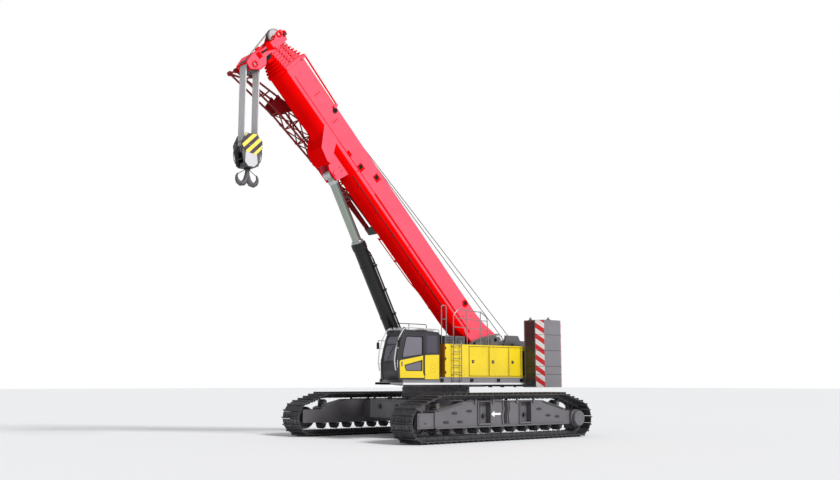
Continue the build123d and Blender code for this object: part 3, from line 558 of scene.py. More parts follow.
piece("drive_sprockets", drives, "undercarriage", CASTING, round_edge=0.005,
    replaces=["sprockets"])
piece("track_roller_set", rollers, "undercarriage", CASTING, replaces=["track_rollers"])

# ---- Side frames ----
for name, side in SIDES:
    bm = bmesh.new()
    face = side * 3.68

    def out(depth):
        return (face, face + side * depth) if side > 0 else (face + side * depth, face)

    for y in (-0.94, 1.17):
        for low, high in (((y - 0.33, 0.60), (y - 0.285, 1.43)), ((y + 0.285, 0.60), (y + 0.33, 1.43)),
                          ((y - 0.33, 0.575), (y + 0.33, 0.635)), ((y - 0.33, 1.385), (y + 0.33, 1.43))):
            block(bm, (out(0.05)[0], *low), (out(0.05)[1], *high))
        for shift in (-0.44, 0.44):
            plate(bm, [(y + shift - 0.06, 1.33), (y + shift + 0.06, 1.33), (y + shift + 0.03, 1.50),
                (y + shift - 0.03, 1.50)],
                  out(0.06))
        block(bm, (side * 3.50 - 0.02, y - 0.09, 0.66), (side * 3.50 + 0.02, y - 0.03, 1.36), 1)
        rod(bm, (side * 3.46, y + 0.11, 0.9), (side * 3.60, y + 0.11, 0.9), 0.07, 14, 1)
    # lower flange, end plates and the weld-on pads
    block(bm, (out(0.09)[0], -3.28, 0.50), (out(0.09)[1], 3.36, 0.545))
    block(bm, (out(0.025)[0], -3.29, 0.50), (out(0.025)[1], -3.24, 1.10))
    plate(bm, [(-3.20, 1.10), (-1.98, 1.375), (-1.98, 1.40), (-3.20, 1.125)], out(0.07))
    plate(bm, [(2.13, 1.375), (3.30, 1.075), (3.30, 1.10), (2.13, 1.40)], out(0.07))
    plate(bm, [(-1.40, 1.41), (1.62, 1.41), (1.62, 1.43), (-1.40, 1.43)], out(0.07))
    # idler guide box with its cover plate
    block(bm, (out(0.11)[0], -4.15, 0.52), (out(0.11)[1], -3.44, 1.04))
    block(bm, (out(0.125)[0], -4.10, 0.57), (out(0.125)[1], -3.49, 0.99))
    bolts(bm, [(face + side * 0.125, y, z) for y in (-4.05, -3.54) for z in (0.62, 0.94)], 0.02, 0.015,
        (side, 0, 0))
    rod(bm, (face + side * 0.12, -3.82, 0.70), (face + side * 0.14, -3.82, 0.70), 0.03, 12, 1)
    block(bm, (out(0.06)[0], -3.42, 0.55), (out(0.06)[1], -3.33, 1.0), 1)
    # pairs of lifting and towing lugs
    for y, z in ((-2.75, 0.72), (-2.35, 1.02), (-2.10, 0.72), (-1.65, 1.08), (1.95, 1.10), (2.45, 0.85),
        (2.95, 0.80)):
        plate(bm, [(y - 0.10, z - 0.035), (y + 0.10, z - 0.035), (y + 0.07, z + 0.035),
            (y - 0.07, z + 0.035)], out(0.04), finish=1)
        rod(bm, (face, y - 0.13, z), (face + side * 0.05, y - 0.13, z), 0.02, 8, 1)
    # hose bundle in its recess by the middle
    for k in range(3):
        y = 0.08 + 0.05 * k
        pipe(bm, [(face + side * 0.03, y, 1.43), (face + side * 0.04, y + 0.05, 1.10),
            (face + side * 0.04, y - 0.03, 0.86),
                  (face + side * 0.03, y + 0.02, 0.60)], 0.018, 8, 0.12, 1)
    plate(bm, [(-0.04, 0.60), (0.02, 0.60), (0.0, 0.9), (0.06, 1.12), (0.02, 1.40), (-0.03, 1.40),
        (0.0, 1.12), (-0.07, 0.92)],
          out(0.045))
    plate(bm, [(0.30, 0.60), (0.36, 0.60), (0.33, 0.9), (0.38, 1.12), (0.36, 1.40), (0.31, 1.40),
        (0.33, 1.12), (0.26, 0.92)],
          out(0.045))
    piece(f"{name}_frame_fittings", bm, "undercarriage", [GREY, DARK], round_edge=0.006)
    bm = bmesh.new()
    plate(bm, [(-0.60, 0.95), (-0.42, 1.06), (-0.42, 0.985), (-0.10, 0.985), (-0.10, 0.915),
        (-0.42, 0.915), (-0.42, 0.84)],
          (out(0.003)[0], out(0.003)[1]))
    piece(f"{name}_way_mark", bm, "undercarriage", WHITE)
    # final drive: stepped cover with its ring of bolts
    bm = bmesh.new()
    hub = moved(side * 3.62, 3.98, 0.71) @ turn_about("Y", 90 * side)
    turned(bm, [(0.0005, 0.0), (0.33, 0.0), (0.33, 0.13), (0.30, 0.145), (0.30, 0.26), (0.275, 0.30),
        (0.10, 0.315), (0.0005, 0.315)],
           hub, 48)
    for a, b in circle_of(20, 0.315):
        bolts(bm, [(side * 3.75, 3.98 + a, 0.71 + b)], 0.016, 0.02, (side, 0, 0))
    for a, b in circle_of(3, 0.16):
        bolts(bm, [(side * 3.93, 3.98 + a, 0.71 + b)], 0.026, 0.012, (side, 0, 0))
    piece(f"{name}_final_drive_cover", bm, "undercarriage", GREY, round_edge=0.005,
          replaces=["final_drives"] if side > 0 else [])

# ---- Carbody and slew ring ----
bm = bmesh.new()
for y, way in ((-2.35, -1), (2.55, 1)):
    block(bm, (-0.95, y, 0.82), (0.95, y + way * 0.03, 1.38))
    for x in (-0.5, 0.5):
        plate(bm, [(x - 0.09, 1.10), (x + 0.09, 1.10), (x + 0.05, 1.26), (x - 0.05, 1.26)],
              tuple(sorted((y, y + way * 0.09))), ALONG, 1)
        bolts(bm, [(x - 0.3, y + way * 0.03, z) for z in (0.9, 1.3)], 0.025, 0.02, (0, way, 0))
for y in (-0.94, 1.17):
    for side in (-1, 1):
        for x in (1.45, 2.0, 2.55, 2.95):
            for face in (-1, 1):
                spot = y + face * 0.27
                block(bm, (side * x - 0.015, spot, 0.70), (side * x + 0.015, spot + face * 0.035, 1.34))
        for x in (1.7, 2.7):
            plate(bm, [(side * x - 0.07, 1.36 + (0.10 - 0.07 * abs(x - 1.3))),
                (side * x + 0.07, 1.36 + (0.10 - 0.07 * abs(x - 1.3))),
                       (side * x + 0.04, 1.56), (side * x - 0.04, 1.56)], (y - 0.02, y + 0.02), ALONG, 1)
piece("carbody_fittings", bm, "undercarriage", [GREY, DARK], round_edge=0.006)
bm = bmesh.new()
turned(bm, [(1.05, 1.70), (1.33, 1.70), (1.33, 1.735), (1.29, 1.74), (1.29, 1.985), (1.05, 1.985)],
    Matrix.Identity(4), 96)
for a, b in circle_of(60, 1.31):
    bolts(bm, [(a, b, 1.735)], 0.022, 0.03, (0, 0, 1))
for k, (a, b) in enumerate(circle_of(110, 1.285)):
    angle = math.atan2(b, a)
    spot = moved(a, b, 0) @ Matrix.Rotation(angle, 4, "Z")
    plate(bm, [(0.0, -0.022), (0.035, -0.010), (0.035, 0.010), (0.0, 0.022)], (1.78, 1.90), spot, 0)
piece("slew_ring_teeth", bm, "undercarriage", RING, replaces=["slew_ring"])


# ---- Decks, ladder and rails ----
bm = bmesh.new()
for side, front in ((1, -3.10), (-1, -1.34)):
    block(bm, (side * 1.75, front, 1.992), (side * 1.754, 3.53, 2.062), 1)
    block(bm, (side * 1.75, -1.34, 2.245), (side * 1.762, 3.50, 2.268))
    for y in (-1.24, 0.28, 1.72, 3.0):
        block(bm, (side * 1.75, y - 0.07, 2.10), (side * 1.79, y + 0.07, 2.22), 2)
        rod(bm, (side * 1.77, y - 0.03, 2.16), (side * 1.80, y - 0.03, 2.16), 0.03, 10, 2)
    for y in (-0.2, 1.40, 2.05, 2.72, 3.35):
        rod(bm, (side * 1.68, y, 1.90), (side * 1.68, y, 2.0), 0.035, 10, 2)
        rod(bm, (side * 1.68, y, 1.885), (side * 1.68, y, 1.905), 0.055, 10, 2)
block(bm, (1.75, -3.10, 2.145), (1.758, -1.35, 2.168))
# tread plate of the step before the cab, with its upturned lip and bracket
block(bm, (0.87, -3.67, 2.06), (1.745, -3.12, 2.066))
block(bm, (0.87, -3.68, 2.0), (1.745, -3.66, 2.09))
for k in range(7):
    y = -3.63 + 0.074 * k
    block(bm, (0.90, y, 2.066), (1.70, y + 0.018, 2.078))
plate(bm, [(-3.66, 2.0), (-3.10, 2.0), (-3.10, 1.95)], (1.70, 1.72))
piece("deck_edges", bm, "superstructure", [DECK_GREY, WHITE, BLACK], round_edge=0.003)
bm = bmesh.new()
for y in (-0.74, -0.33):
    pipe(bm, [(1.77, y, 2.12), (1.86, y, 2.14), (1.86, y, 3.60), (1.62, y, 3.66)], 0.019, 10, 0.07)
    for z in (2.34, 3.42):
        rod(bm, (1.75, y, z), (1.86, y, z), 0.014, 8)
for k in range(6):
    z = 2.20 + 0.254 * k
    rod(bm, (1.86, -0.74, z), (1.86, -0.33, z), 0.014, 8)
piece("hood_ladder", bm, "superstructure", ZINC, replaces=["access_ladder"])
bm = bmesh.new()
for y in (-1.02, -0.78):
    pipe(bm, [(1.50, y, 3.50), (1.50, y, 4.95)], 0.017, 8)
pipe(bm, [(1.50, -1.02, 4.94), (1.50, -0.9, 4.99), (1.50, -0.78, 4.94)], 0.017, 8, 0.05)
rod(bm, (1.50, -1.02, 4.45), (1.50, -0.78, 4.45), 0.013, 8)
pipe(bm, [(1.50, -0.41, 3.50), (1.50, -0.41, 4.62), (1.50, -0.18, 4.86), (1.50, 1.05, 4.80),
    (1.50, 1.38, 4.60), (1.50, 1.45, 3.52)],
     0.018, 8, 0.08)
pipe(bm, [(1.50, -0.41, 4.18), (1.50, 1.42, 4.12)], 0.015, 8)
pipe(bm, [(1.50, -0.30, 4.52), (1.50, 1.38, 4.46)], 0.015, 8)
for y in (0.30, 1.02):
    pipe(bm, [(1.50, y, 3.50), (1.50, y, 4.84)], 0.018, 8)
pipe(bm, [(1.50, 1.45, 3.95), (1.50, 2.2, 3.90)], 0.014, 8)
piece("left_roof_rails", bm, "superstructure", ZINC, replaces=["guard_rail_left"])
bm = bmesh.new()
pipe(bm, [(-1.60, -1.0, 3.50), (-1.60, -1.0, 4.32), (-1.60, -0.85, 4.45), (-1.60, 0.9, 4.45),
    (-1.60, 0.9, 3.50)], 0.017, 8, 0.08)
pipe(bm, [(-1.60, -1.0, 4.0), (-1.60, 0.9, 4.0)], 0.014, 8)
rod(bm, (-1.60, -0.05, 3.5), (-1.60, -0.05, 4.45), 0.016, 8)
for x in (-1.60,):
    pipe(bm, [(x, 2.0, 3.50), (x, 2.0, 4.50), (x, 3.4, 4.50), (x, 3.4, 3.50)], 0.017, 8, 0.08)
    pipe(bm, [(x, 2.0, 4.05), (x, 3.4, 4.05)], 0.014, 8)
    rod(bm, (x, 2.7, 3.5), (x, 2.7, 4.5), 0.016, 8)
piece("right_roof_rails", bm, "superstructure", ZINC, replaces=["guard_rail_right"])

# ---- Hoods: seals, latches, grilles and lids ----
DOORS = (0.16, 1.23, 2.32, 3.00)
bm = bmesh.new()
for side in (1, -1):
    x0, x1 = sorted((side * 1.748, side * 1.7535))
    for y in DOORS:
        block(bm, (x0, y - 0.012, 2.30), (x1, y + 0.012, 3.46), 1)
    for z in (2.315, 3.445):
        block(bm, (x0, 0.16, z - 0.008), (x1, 3.0, z + 0.008), 1)
    # rear grille with its slats
    block(bm, (x0, 3.08, 2.34), (x1, 3.33, 3.32), 1)
    for k in range(20):
        z = 2.365 + 0.048 * k
        plate(bm, [(side * 1.752, z), (side * 1.772, z - 0.014), (side * 1.775, z - 0.006),
            (side * 1.755, z + 0.012)],
              (3.10, 3.31), ALONG, 2)
    for y in (3.065, 3.33):
        block(bm, (side * 1.75, y, 2.325), (side * 1.77, y + 0.015, 3.335), 0)
    for z in (2.325, 3.32):
        block(bm, (side * 1.75, 3.065, z), (side * 1.77, 3.345, z + 0.015), 0)
    # roof lids with raised edges, and the front cowl: an amber sheet on the hood's front face, painted shade
    for y0, y1 in ((-0.95, 0.10), (0.18, 1.20), (1.28, 2.30), (2.38, 3.40)):
        block(bm, (side * 0.72, y0, 3.50), (side * 1.69, y1, 3.512))
    block(bm, (side * 1.70, -1.06, 3.46), (side * 1.752, 3.49, 3.505))
    # amber sheet over the hood's front face: painted shade
    block(bm, (side * 0.66, -1.075, 2.27), (side * 1.75, -1.06, 3.50), 3)
    block(bm, (x0, -1.06, 2.27), (x1, -0.80, 3.50), 0)
    for z in (2.45, 2.95, 3.35):
        block(bm, (side * 1.75, -1.07, z - 0.05), (side * 1.765, -1.02, z + 0.05), 2)
piece("hood_trim", bm, "superstructure", [YELLOW, BLACK, DARK, AMBER_AND_HOOD_SHADE], round_edge=0.003)
for name, side in SIDES:
    for k, (front, rear) in enumerate(zip(DOORS, DOORS[1:])):
        bm = bmesh.new()
        x0, x1 = sorted((side * 1.745, side * 1.775))
        block(bm, (x0, front + 0.15, 2.82), (x1, front + 0.26, 2.925), 1)
        rod(bm, (x1 if side > 0 else x0, front + 0.205, 2.87), (side * 1.785, front + 0.205, 2.87), 0.025,
            10, 2)
        edge = 0.055
        for box_low, box_high in (((front + edge, 2.36), (rear - edge, 2.372)),
            ((front + edge, 3.388), (rear - edge, 3.40)),
                                  ((front + edge, 2.36),
                                      (front + edge + 0.012, 3.40)), ((rear - edge - 0.012,
                                      2.36), (rear - edge, 3.40))):
            block(bm, (side * 1.749, *box_low), (side * 1.7525, *box_high))
        piece(f"{name}_door_latch_{k + 1}", bm, f"hood_door_{name}_{k + 1}", [YELLOW, DARK, STEEL],
            round_edge=0.002)

# ---- Machinery on the roof and deck ----
bm = bmesh.new()
for x in (0.75, 1.22):
    for y0, y1 in ((-0.98, -0.50), (-0.44, 0.04)):
        block(bm, (x, y0, 3.512), (x + 0.42, y1, 3.82))
        for k in range(4):
            z = 3.56 + 0.06 * k
            block(bm, (x + 0.42, y0 + 0.05, z), (x + 0.43, y1 - 0.05, z + 0.03), 1)
            block(bm, (x + 0.05, y0 - 0.01, z), (x + 0.37, y0, z + 0.03), 1)
block(bm, (0.76, -1.335, 3.505), (1.46, -1.005, 3.86), 2)
# silencer, tank and pipes on the far side
rod(bm, (-1.2, 1.1, 3.68), (-1.2, 2.3, 3.68), 0.15, 24, 2)
for y in (1.25, 2.05):
    block(bm, (-1.30, y, 3.50), (-1.10, y + 0.09, 3.64), 2)
pipe(bm, [(-1.2, 2.2, 3.70), (-1.2, 2.2, 4.05), (-1.25, 2.30, 4.15)], 0.06, 14, 0.06, 3)
rod(bm, (-1.05, -0.6, 3.51), (-1.05, -0.6, 3.78), 0.16, 24, 0)
rod(bm, (-1.05, -0.6, 3.78), (-1.05, -0.6, 3.80), 0.18, 24, 1)
piece("roof_machinery", bm, "superstructure", [GREY, DARK, BLACK, STEEL], round_edge=0.006,
    replaces=["roof_boxes"])
bm = bmesh.new()
# valve bank and lines by the boom foot
for k in range(6):
    block(bm, (-0.44 + 0.14 * k, 0.15, 2.11), (-0.34 + 0.14 * k, 0.55, 2.38), 0)
    pipe(bm, [(-0.39 + 0.14 * k, 0.2, 2.36), (-0.39 + 0.14 * k, 0.1, 2.55),
        (-0.36 + 0.12 * k, -0.5, 2.50), (-0.3 + 0.1 * k, -1.0, 2.20)],
         0.02, 8, 0.12, 1)
block(bm, (-0.42, 2.9, 4.02), (0.42, 3.12, 4.06), 0)
piece("foot_valves", bm, "superstructure", [GREY, DARK], round_edge=0.005)
bm = bmesh.new()
# cheek plates: bosses round the pins, ribs and lightening holes
for side in (1, -1):
    for y, z, r in ((2.33, 3.71, 0.22), (-1.390, 2.534, 0.19), (3.70, 3.56, 0.17), (4.48, 3.40, 0.17)):
        bolts(bm, [(side * 0.602, y + a, z + b) for a, b in circle_of(8, r * 0.8)], 0.014, 0.012,
            (side, 0, 0))
    for y, z in ((1.55, 3.62), (1.90, 3.42), (2.75, 3.80)):
        rod(bm, (side * 0.578, y, z), (side * 0.584, y, z), 0.085, 20, 1)
    plate(bm, [(1.25, 3.50), (1.5, 3.68), (2.1, 3.84), (2.1, 3.88), (1.48, 3.72), (1.23, 3.54)],
        (side * 0.56, side * 0.64))
piece("cheek_trim", bm, "superstructure", [GREY, BLACK], round_edge=0.004)

# ---- Counterweights ----
CORNERS = [(1.83, 3.13), (2.45, 3.13), (2.76, 3.31), (2.76, 4.27), (2.60, 4.48), (1.83, 4.48)]
bm = bmesh.new()
dark = bmesh.new()
for side in (1, -1):
    for (xa, ya), (xb, yb) in ((CORNERS[1], CORNERS[2]), (CORNERS[3], CORNERS[4])):
        out = Vector((yb - ya, xa - xb, 0)).normalized() * 0.003
        for low, high in ((1.89, 2.387), (2.403, 2.702), (2.718, 3.322), (3.338, 3.942), (3.958, 4.535)):
            ring = [Vector((side * xa, ya, low)), Vector((side * xb, yb, low)),
                Vector((side * xb, yb, high)), Vector((side * xa, ya, high))]
            push = Vector((side * out.x, out.y, 0))
            face = bm.faces.new([bm.verts.new(p) for p in ring])
            grown = bmesh.ops.extrude_face_region(bm, geom=[face])["geom"]
            bmesh.ops.translate(bm, vec=push, verts=[g for g in grown if isinstance(g, bmesh.types.BMVert)])
    outline = [(side * x, y) for x, y in CORNERS]
    flat = Matrix.Identity(4)
    for z in (2.395, 2.71, 3.33, 3.95):
        grown = [(side * (x + (0.004 if x > 2 else 0)),
            y + (0.004 if y > 4 else (-0.004 if y < 3.2 else 0))) for x, y in CORNERS]
        plate(dark, grown, (z - 0.007, z + 0.007), flat)
    for x, y in ((2.05, 3.30), (2.05, 4.30), (2.55, 3.80)):
        rod(dark, (side * x, y, 4.545), (side * x, y, 4.56), 0.10, 20)
    # dark sheet over the counterweight's front face: painted shade
    plate(dark, [(side * 1.9, 3.126), (side * 2.4, 3.126), (side * 2.4, 3.130), (side * 1.9, 3.130)],
        (1.95, 4.50), flat)
    block(dark, (side * 1.80, 3.40, 4.545), (side * 1.95, 4.2, 4.58))
piece("weight_warning_bands", bm, "superstructure", STRIPES)
piece("weight_joints_and_front_shade", dark, "superstructure", DARK)
bm = bmesh.new()
for side in (1, -1):
    for x, y in ((2.05, 3.30), (2.05, 4.30), (2.55, 3.80)):
        pipe(bm, [(side * x - 0.06, y, 4.55), (side * x - 0.06, y, 4.62), (side * x, y, 4.66),
            (side * x + 0.06, y, 4.62), (side * x + 0.06, y, 4.55)],
             0.018, 8, 0.04)
piece("weight_lifting_rings", bm, "superstructure", STEEL)

# ---- Winches with their wound rope ----
for name, y, z in (("main", 3.70, 3.56), ("auxiliary", 4.48, 3.40)):
    bm = bmesh.new()
    barrel = [(0.0995, -0.57), (0.16, -0.57), (0.16, -0.47), (0.38, -0.46), (0.38, -0.43)]
    turns = 30
    pitch = 0.86 / turns
    for k in range(turns):
        h = -0.43 + pitch * k
        barrel += [(0.288, h + 0.001), (0.300, h + pitch * 0.25), (0.302, h + pitch * 0.5),
            (0.300, h + pitch * 0.75)]
    barrel += [(0.38, 0.43), (0.38, 0.46), (0.16, 0.47), (0.16, 0.57), (0.0995, 0.57), (0.02, 0.57),
        (0.02, -0.57)]
    turned(bm, barrel, facing_x(0, y, z), 56)
    for f in bm.faces:
        far = math.hypot(f.calc_center_median().y - y, f.calc_center_median().z - z)
        f.material_index = 1 if 0.285 < far < 0.304 and abs(f.calc_center_median().x) < 0.431 else 0
    for a, b in circle_of(12, 0.33):
        bolts(bm, [(0.46, y + a, z + b)], 0.016, 0.015, (1, 0, 0))
        bolts(bm, [(-0.46, y + a, z + b)], 0.016, 0.015, (-1, 0, 0))
    piece(f"{name}_winch_with_rope", bm, f"winch_{name}", [DARK, ROPE],
        replaces=[f"winch_drum_{name}"])
# ---- Cab ----
bm = bmesh.new()
edge = 1.7497
for outline in ([(-3.242, 2.238), (-2.088, 2.238), (-2.088, 2.50), (-3.252, 2.50)],
                [(-3.252, 2.50), (-2.962, 2.50), (-3.032, 2.692), (-3.262, 2.80)],
                [(-2.198, 2.50), (-2.088, 2.50), (-2.088, 3.065), (-2.198, 3.04)],
                [(-3.262, 2.80), (-3.032, 2.692), (-2.198, 2.882), (-2.198, 3.04), (-3.235, 2.86)]):
    plate(bm, outline, (edge, edge + 0.006))
rim = [(-2.96, 2.50), (-2.20, 2.50), (-2.20, 2.88), (-3.03, 2.69)]
for a, b in zip(rim, rim[1:] + rim[:1]):
    rod(bm, (edge + 0.004, *a), (edge + 0.004, *b), 0.014, 8, 1)
rod(bm, (edge + 0.02, -3.16, 2.65), (edge + 0.045, -3.16, 2.83), 0.012, 8, 2)
piece("cab_door_panel", bm, "cab_door", [YELLOW, BLACK, STEEL], round_edge=0.003)
bm = bmesh.new()
rim = [(-2.176, 3.09), (-2.176, 3.744), (-2.93, 3.744), (-3.0, 3.56), (-3.10, 3.17), (-3.12, 2.96)]
for a, b in zip(rim, rim[1:] + rim[:1]):
    rod(bm, (edge + 0.002, *a), (edge + 0.002, *b), 0.012, 8)
piece("cab_door_seal", bm, "cab_door", BLACK)
SIDE_RIM = [(-3.30, 2.18), (-3.40, 2.47), (-3.41, 2.79), (-3.33, 3.16), (-3.20, 3.61), (-3.07, 3.90),
    (-2.95, 3.95),
            (-1.42, 3.915), (-1.35, 3.85), (-1.35, 2.18)]
bm = bmesh.new()
x = 1.75
plate(bm, [(-2.060, 2.19), (-1.356, 2.19), (-1.356, 3.09), (-1.60, 3.085), (-2.060, 3.065)], (x, x + 0.006))
for a, b in (((-1.78, 2.46), (-1.56, 2.46)), ((-1.56, 2.46), (-1.56, 2.72)),
    ((-1.56, 2.72), (-1.78, 2.72)), ((-1.78, 2.72), (-1.78, 2.46))):
    rod(bm, (x + 0.005, *a), (x + 0.005, *b), 0.006, 6, 3)
rod(bm, (x + 0.004, -1.68, 2.59), (x + 0.016, -1.68, 2.59), 0.022, 12, 3)
plate(bm, [(-1.984, 3.156), (-1.466, 3.156), (-1.466, 3.794), (-1.984, 3.794)], (x, x + 0.004), finish=1)
plate(bm, [(-3.29, 2.18), (-3.258, 2.18), (-3.278, 2.80), (-3.21, 3.16), (-3.10, 3.59), (-3.01, 3.85),
    (-3.065, 3.885), (-3.19, 3.60),
           (-3.32, 3.155), (-3.40, 2.79), (-3.39, 2.47)], (x, x + 0.005), finish=2)
for side_x in (1.75, 0.86):
    pipe(bm, [(side_x, y, z) for y, z in SIDE_RIM], 0.020, 10, 0.10, 2)
piece("cab_side_panels", bm, "superstructure", [YELLOW, TINT, DARK, AMBER_AND_HOOD_SHADE], round_edge=0.003)
bm = bmesh.new()
# windshield frame, lower front panel, sill, wiper and roof pieces
for x in (0.90, 1.71):
    pipe(bm, [(x, -3.31, 2.20), (x, -3.41, 2.47), (x, -3.42, 2.80), (x, -3.34, 3.16), (x, -3.21, 3.61),
        (x, -3.08, 3.90)], 0.026, 10, 0.14)
for y, z in ((-3.415, 2.83), (-3.25, 3.44), (-3.13, 3.78)):
    rod(bm, (0.90, y, z), (1.71, y, z), 0.020, 10)
plate(bm, [(0.93, 2.50), (1.68, 2.50), (1.68, 2.80), (0.93, 2.80)], (-3.414, -3.404), ALONG)
pipe(bm, [(1.30, -3.43, 2.80), (1.30, -3.44, 2.92), (1.46, -3.33, 3.35)], 0.010, 8, 0.05, 1)
rod(bm, (1.26, -3.42, 2.95), (1.56, -3.28, 3.42), 0.008, 6, 1)
block(bm, (0.90, -2.90, 3.945), (1.71, -1.60, 3.962))
block(bm, (1.10, -2.15, 3.955), (1.48, -1.75, 4.03), 1)
for x in (0.93, 1.66):
    rod(bm, (x, -2.93, 4.02), (x, -3.01, 4.02), 0.055, 16, 1)
    rod(bm, (x, -3.01, 4.02), (x, -3.018, 4.02), 0.048, 16, 2)
    rod(bm, (x, -2.95, 3.93), (x, -2.95, 4.02), 0.012, 8, 1)
piece("cab_front_frame", bm, "superstructure", [DARK, BLACK, LAMP], round_edge=0.003)
bm = bmesh.new()
# outer guard of bars over the roof and down the front
for x in (0.87, 1.80):
    pipe(bm, [(x, -3.48, 2.50), (x, -3.55, 2.80), (x, -3.50, 3.20), (x, -3.34, 3.68), (x, -3.12, 4.00),
        (x, -2.9, 4.06), (x, -1.42, 4.02),
              (x, -1.40, 3.88)], 0.022, 10, 0.16)
    for y, z, back in ((-3.47, 3.30, -3.29), (-3.55, 2.75, -3.41)):
        rod(bm, (x, y, z), (min(x, 1.75), back, z), 0.011, 8)
for y, z in ((-3.14, 3.98), (-2.75, 4.06), (-2.0, 4.04), (-1.45, 4.02)):
    rod(bm, (0.87, y, z), (1.80, y, z), 0.017, 8)
for x in (1.10, 1.34, 1.58):
    rod(bm, (x, -3.14, 3.98), (x, -1.45, 4.02), 0.011, 8)
pipe(bm, [(1.75, -3.36, 2.60), (1.80, -3.40, 2.60), (1.80, -3.40, 2.86), (1.75, -3.38, 2.86)], 0.011, 8, 0.03)
piece("cab_guard_bars", bm, "superstructure", PALE_BAR)
bm = bmesh.new()
pipe(bm, [(0.88, -3.22, 3.58), (0.80, -3.50, 3.60), (0.80, -3.50, 3.52)], 0.012, 8, 0.05)
block(bm, (0.74, -3.53, 3.28), (0.86, -3.495, 3.52))
pipe(bm, [(1.78, -3.20, 3.66), (1.91, -3.42, 3.66), (1.91, -3.42, 3.58)], 0.012, 8, 0.05)
block(bm, (1.85, -3.45, 3.34), (1.97, -3.42, 3.58))
block(bm, (0.75, -3.495, 3.29), (0.85, -3.492, 3.51), 1)
block(bm, (1.86, -3.42, 3.35), (1.96, -3.417, 3.57), 1)
piece("cab_mirrors", bm, "superstructure", [BLACK, CHROME], round_edge=0.008)


def cushion(name, low, high, crown):
    """A crowned seat pad: full in the middle, drawn in at its seams."""
    bm = bmesh.new()
    block(bm, low, high)
    bmesh.ops.subdivide_edges(bm, edges=bm.edges[:], cuts=5, use_grid_fill=True)
    middle = (Vector(low) + Vector(high)) / 2
    half = (Vector(high) - Vector(low)) / 2
    for v in bm.verts:
        away = Vector([(v.co[i] - middle[i]) / half[i] for i in range(3)])
        ease = 1 - 0.09 * (abs(away.x * away.y) + abs(away.y * away.z) + abs(away.x * away.z))
        v.co = middle + Vector([away[i] * half[i] * ease for i in range(3)])
        for i in range(3):
            if abs(away[i]) > 0.99:
                v.co[i] += math.copysign(crown * (1 - away[(i + 1) % 3] ** 2) * (1 - away[(i + 2) % 3] ** 2), away[i])
    made = piece(name, bm, "superstructure", CLOTH)
    soft = made.modifiers.new("soft", "SUBSURF")
    soft.levels = soft.render_levels = 2
    return made


cushion("seat_base_pad", (1.05, -2.47, 2.59), (1.55, -1.98, 2.72), 0.018)
cushion("seat_back_pad", (1.06, -1.99, 2.75), (1.54, -1.87, 3.31), 0.018)
cushion("seat_head_pad", (1.17, -1.98, 3.33), (1.43, -1.89, 3.42), 0.012)
bm = bmesh.new()
block(bm, (1.12, -2.24, 2.222), (1.48, -1.92, 2.30))
for k in range(6):
    block(bm, (1.14 + 0.004 * k, -2.22, 2.30 + 0.04 * k), (1.46 - 0.004 * k, -1.94, 2.33 + 0.04 * k))
block(bm, (1.06, -2.46, 2.54), (1.54, -1.90, 2.59))
block(bm, (1.06, -1.885, 2.65), (1.54, -1.865, 3.25))
for x in (0.925, 1.575):
    block(bm, (x, -2.60, 2.50), (x + 0.085, -1.95, 2.57))
    block(bm, (x, -2.62, 2.55), (x + 0.085, -2.35, 2.75))
    rod(bm, (x + 0.042, -2.50, 2.75), (x + 0.042, -2.54, 2.90), 0.012, 8, 1)
    ball(bm, (x + 0.042, -2.545, 2.92), 0.026, 1)
block(bm, (0.925, -2.68, 2.222), (1.005, -1.92, 2.55))
rod(bm, (1.30, -3.12, 2.225), (1.30, -2.98, 2.85), 0.035, 12)
turned(bm, [(0.17, -0.012), (0.185, 0.0), (0.17, 0.012), (0.158, 0.0)],
       moved(1.30, -2.96, 2.89) @ turn_about("X", -30), 28, 1)
block(bm, (0.94, -3.14, 2.85), (1.12, -3.10, 3.08), 1)
block(bm, (0.96, -3.101, 2.87), (1.10, -3.097, 3.06), 2)
piece("cab_controls", bm, "superstructure", [GREY, BLACK, TINT], round_edge=0.004,
    replaces=["cab_seat"])

# ---- Boom: base section fittings (made level, then raised) ----
bm = bmesh.new()
for side in (1, -1):
    def wall(depth):
        return tuple(sorted((side * 0.47, side * (0.47 + depth))))
    plate(bm, [(-13.2, -0.435), (-1.5, -0.435), (-1.5, -0.41), (-13.2, -0.41)], wall(0.012))
    plate(bm, [(-7.9, -0.46), (-0.9, -0.46), (-0.9, -0.40), (-7.9, -0.40)], wall(0.028))
    turned(bm, [(0.09, 0.0), (0.15, 0.0), (0.145, 0.03), (0.095, 0.03)],
           moved(side * 0.47, -1.90, 0.20) @ turn_about("Y", 90 * side), 28)
    rod(bm, (side * 0.468, -1.90, 0.20), (side * 0.474, -1.90, 0.20), 0.09, 24, 1)
    # square pockets in the flank
    for s, n in ((9.03, -0.27), (8.29, 0.06)):
        block(bm, (wall(0.02)[0], -s - 0.14, n - 0.12), (wall(0.02)[1], -s + 0.14, n + 0.12))
        block(bm, (wall(0.024)[0], -s - 0.11, n - 0.09), (wall(0.024)[1], -s + 0.05, n + 0.09), 1)
    for s in (11.0, 12.2):
        block(bm, (wall(0.014)[0], -s - 0.01, -0.20), (wall(0.014)[1], -s + 0.01, 0.12))
    plate(bm, [(-9.85, -0.42), (-9.62, -0.42), (-9.62, -0.30), (-9.85, -0.30)], wall(0.02))
    # dark line that runs along the belly, and its clips
    pipe(bm, [(side * 0.40, -9.0, -0.752), (side * 0.40, -2.4, -0.752)], 0.018, 8, 0, 2)
    for k in range(6):
        block(bm, (side * 0.36, -8.6 + 1.2 * k, -0.79), (side * 0.43, -8.53 + 1.2 * k, -0.72), 2)
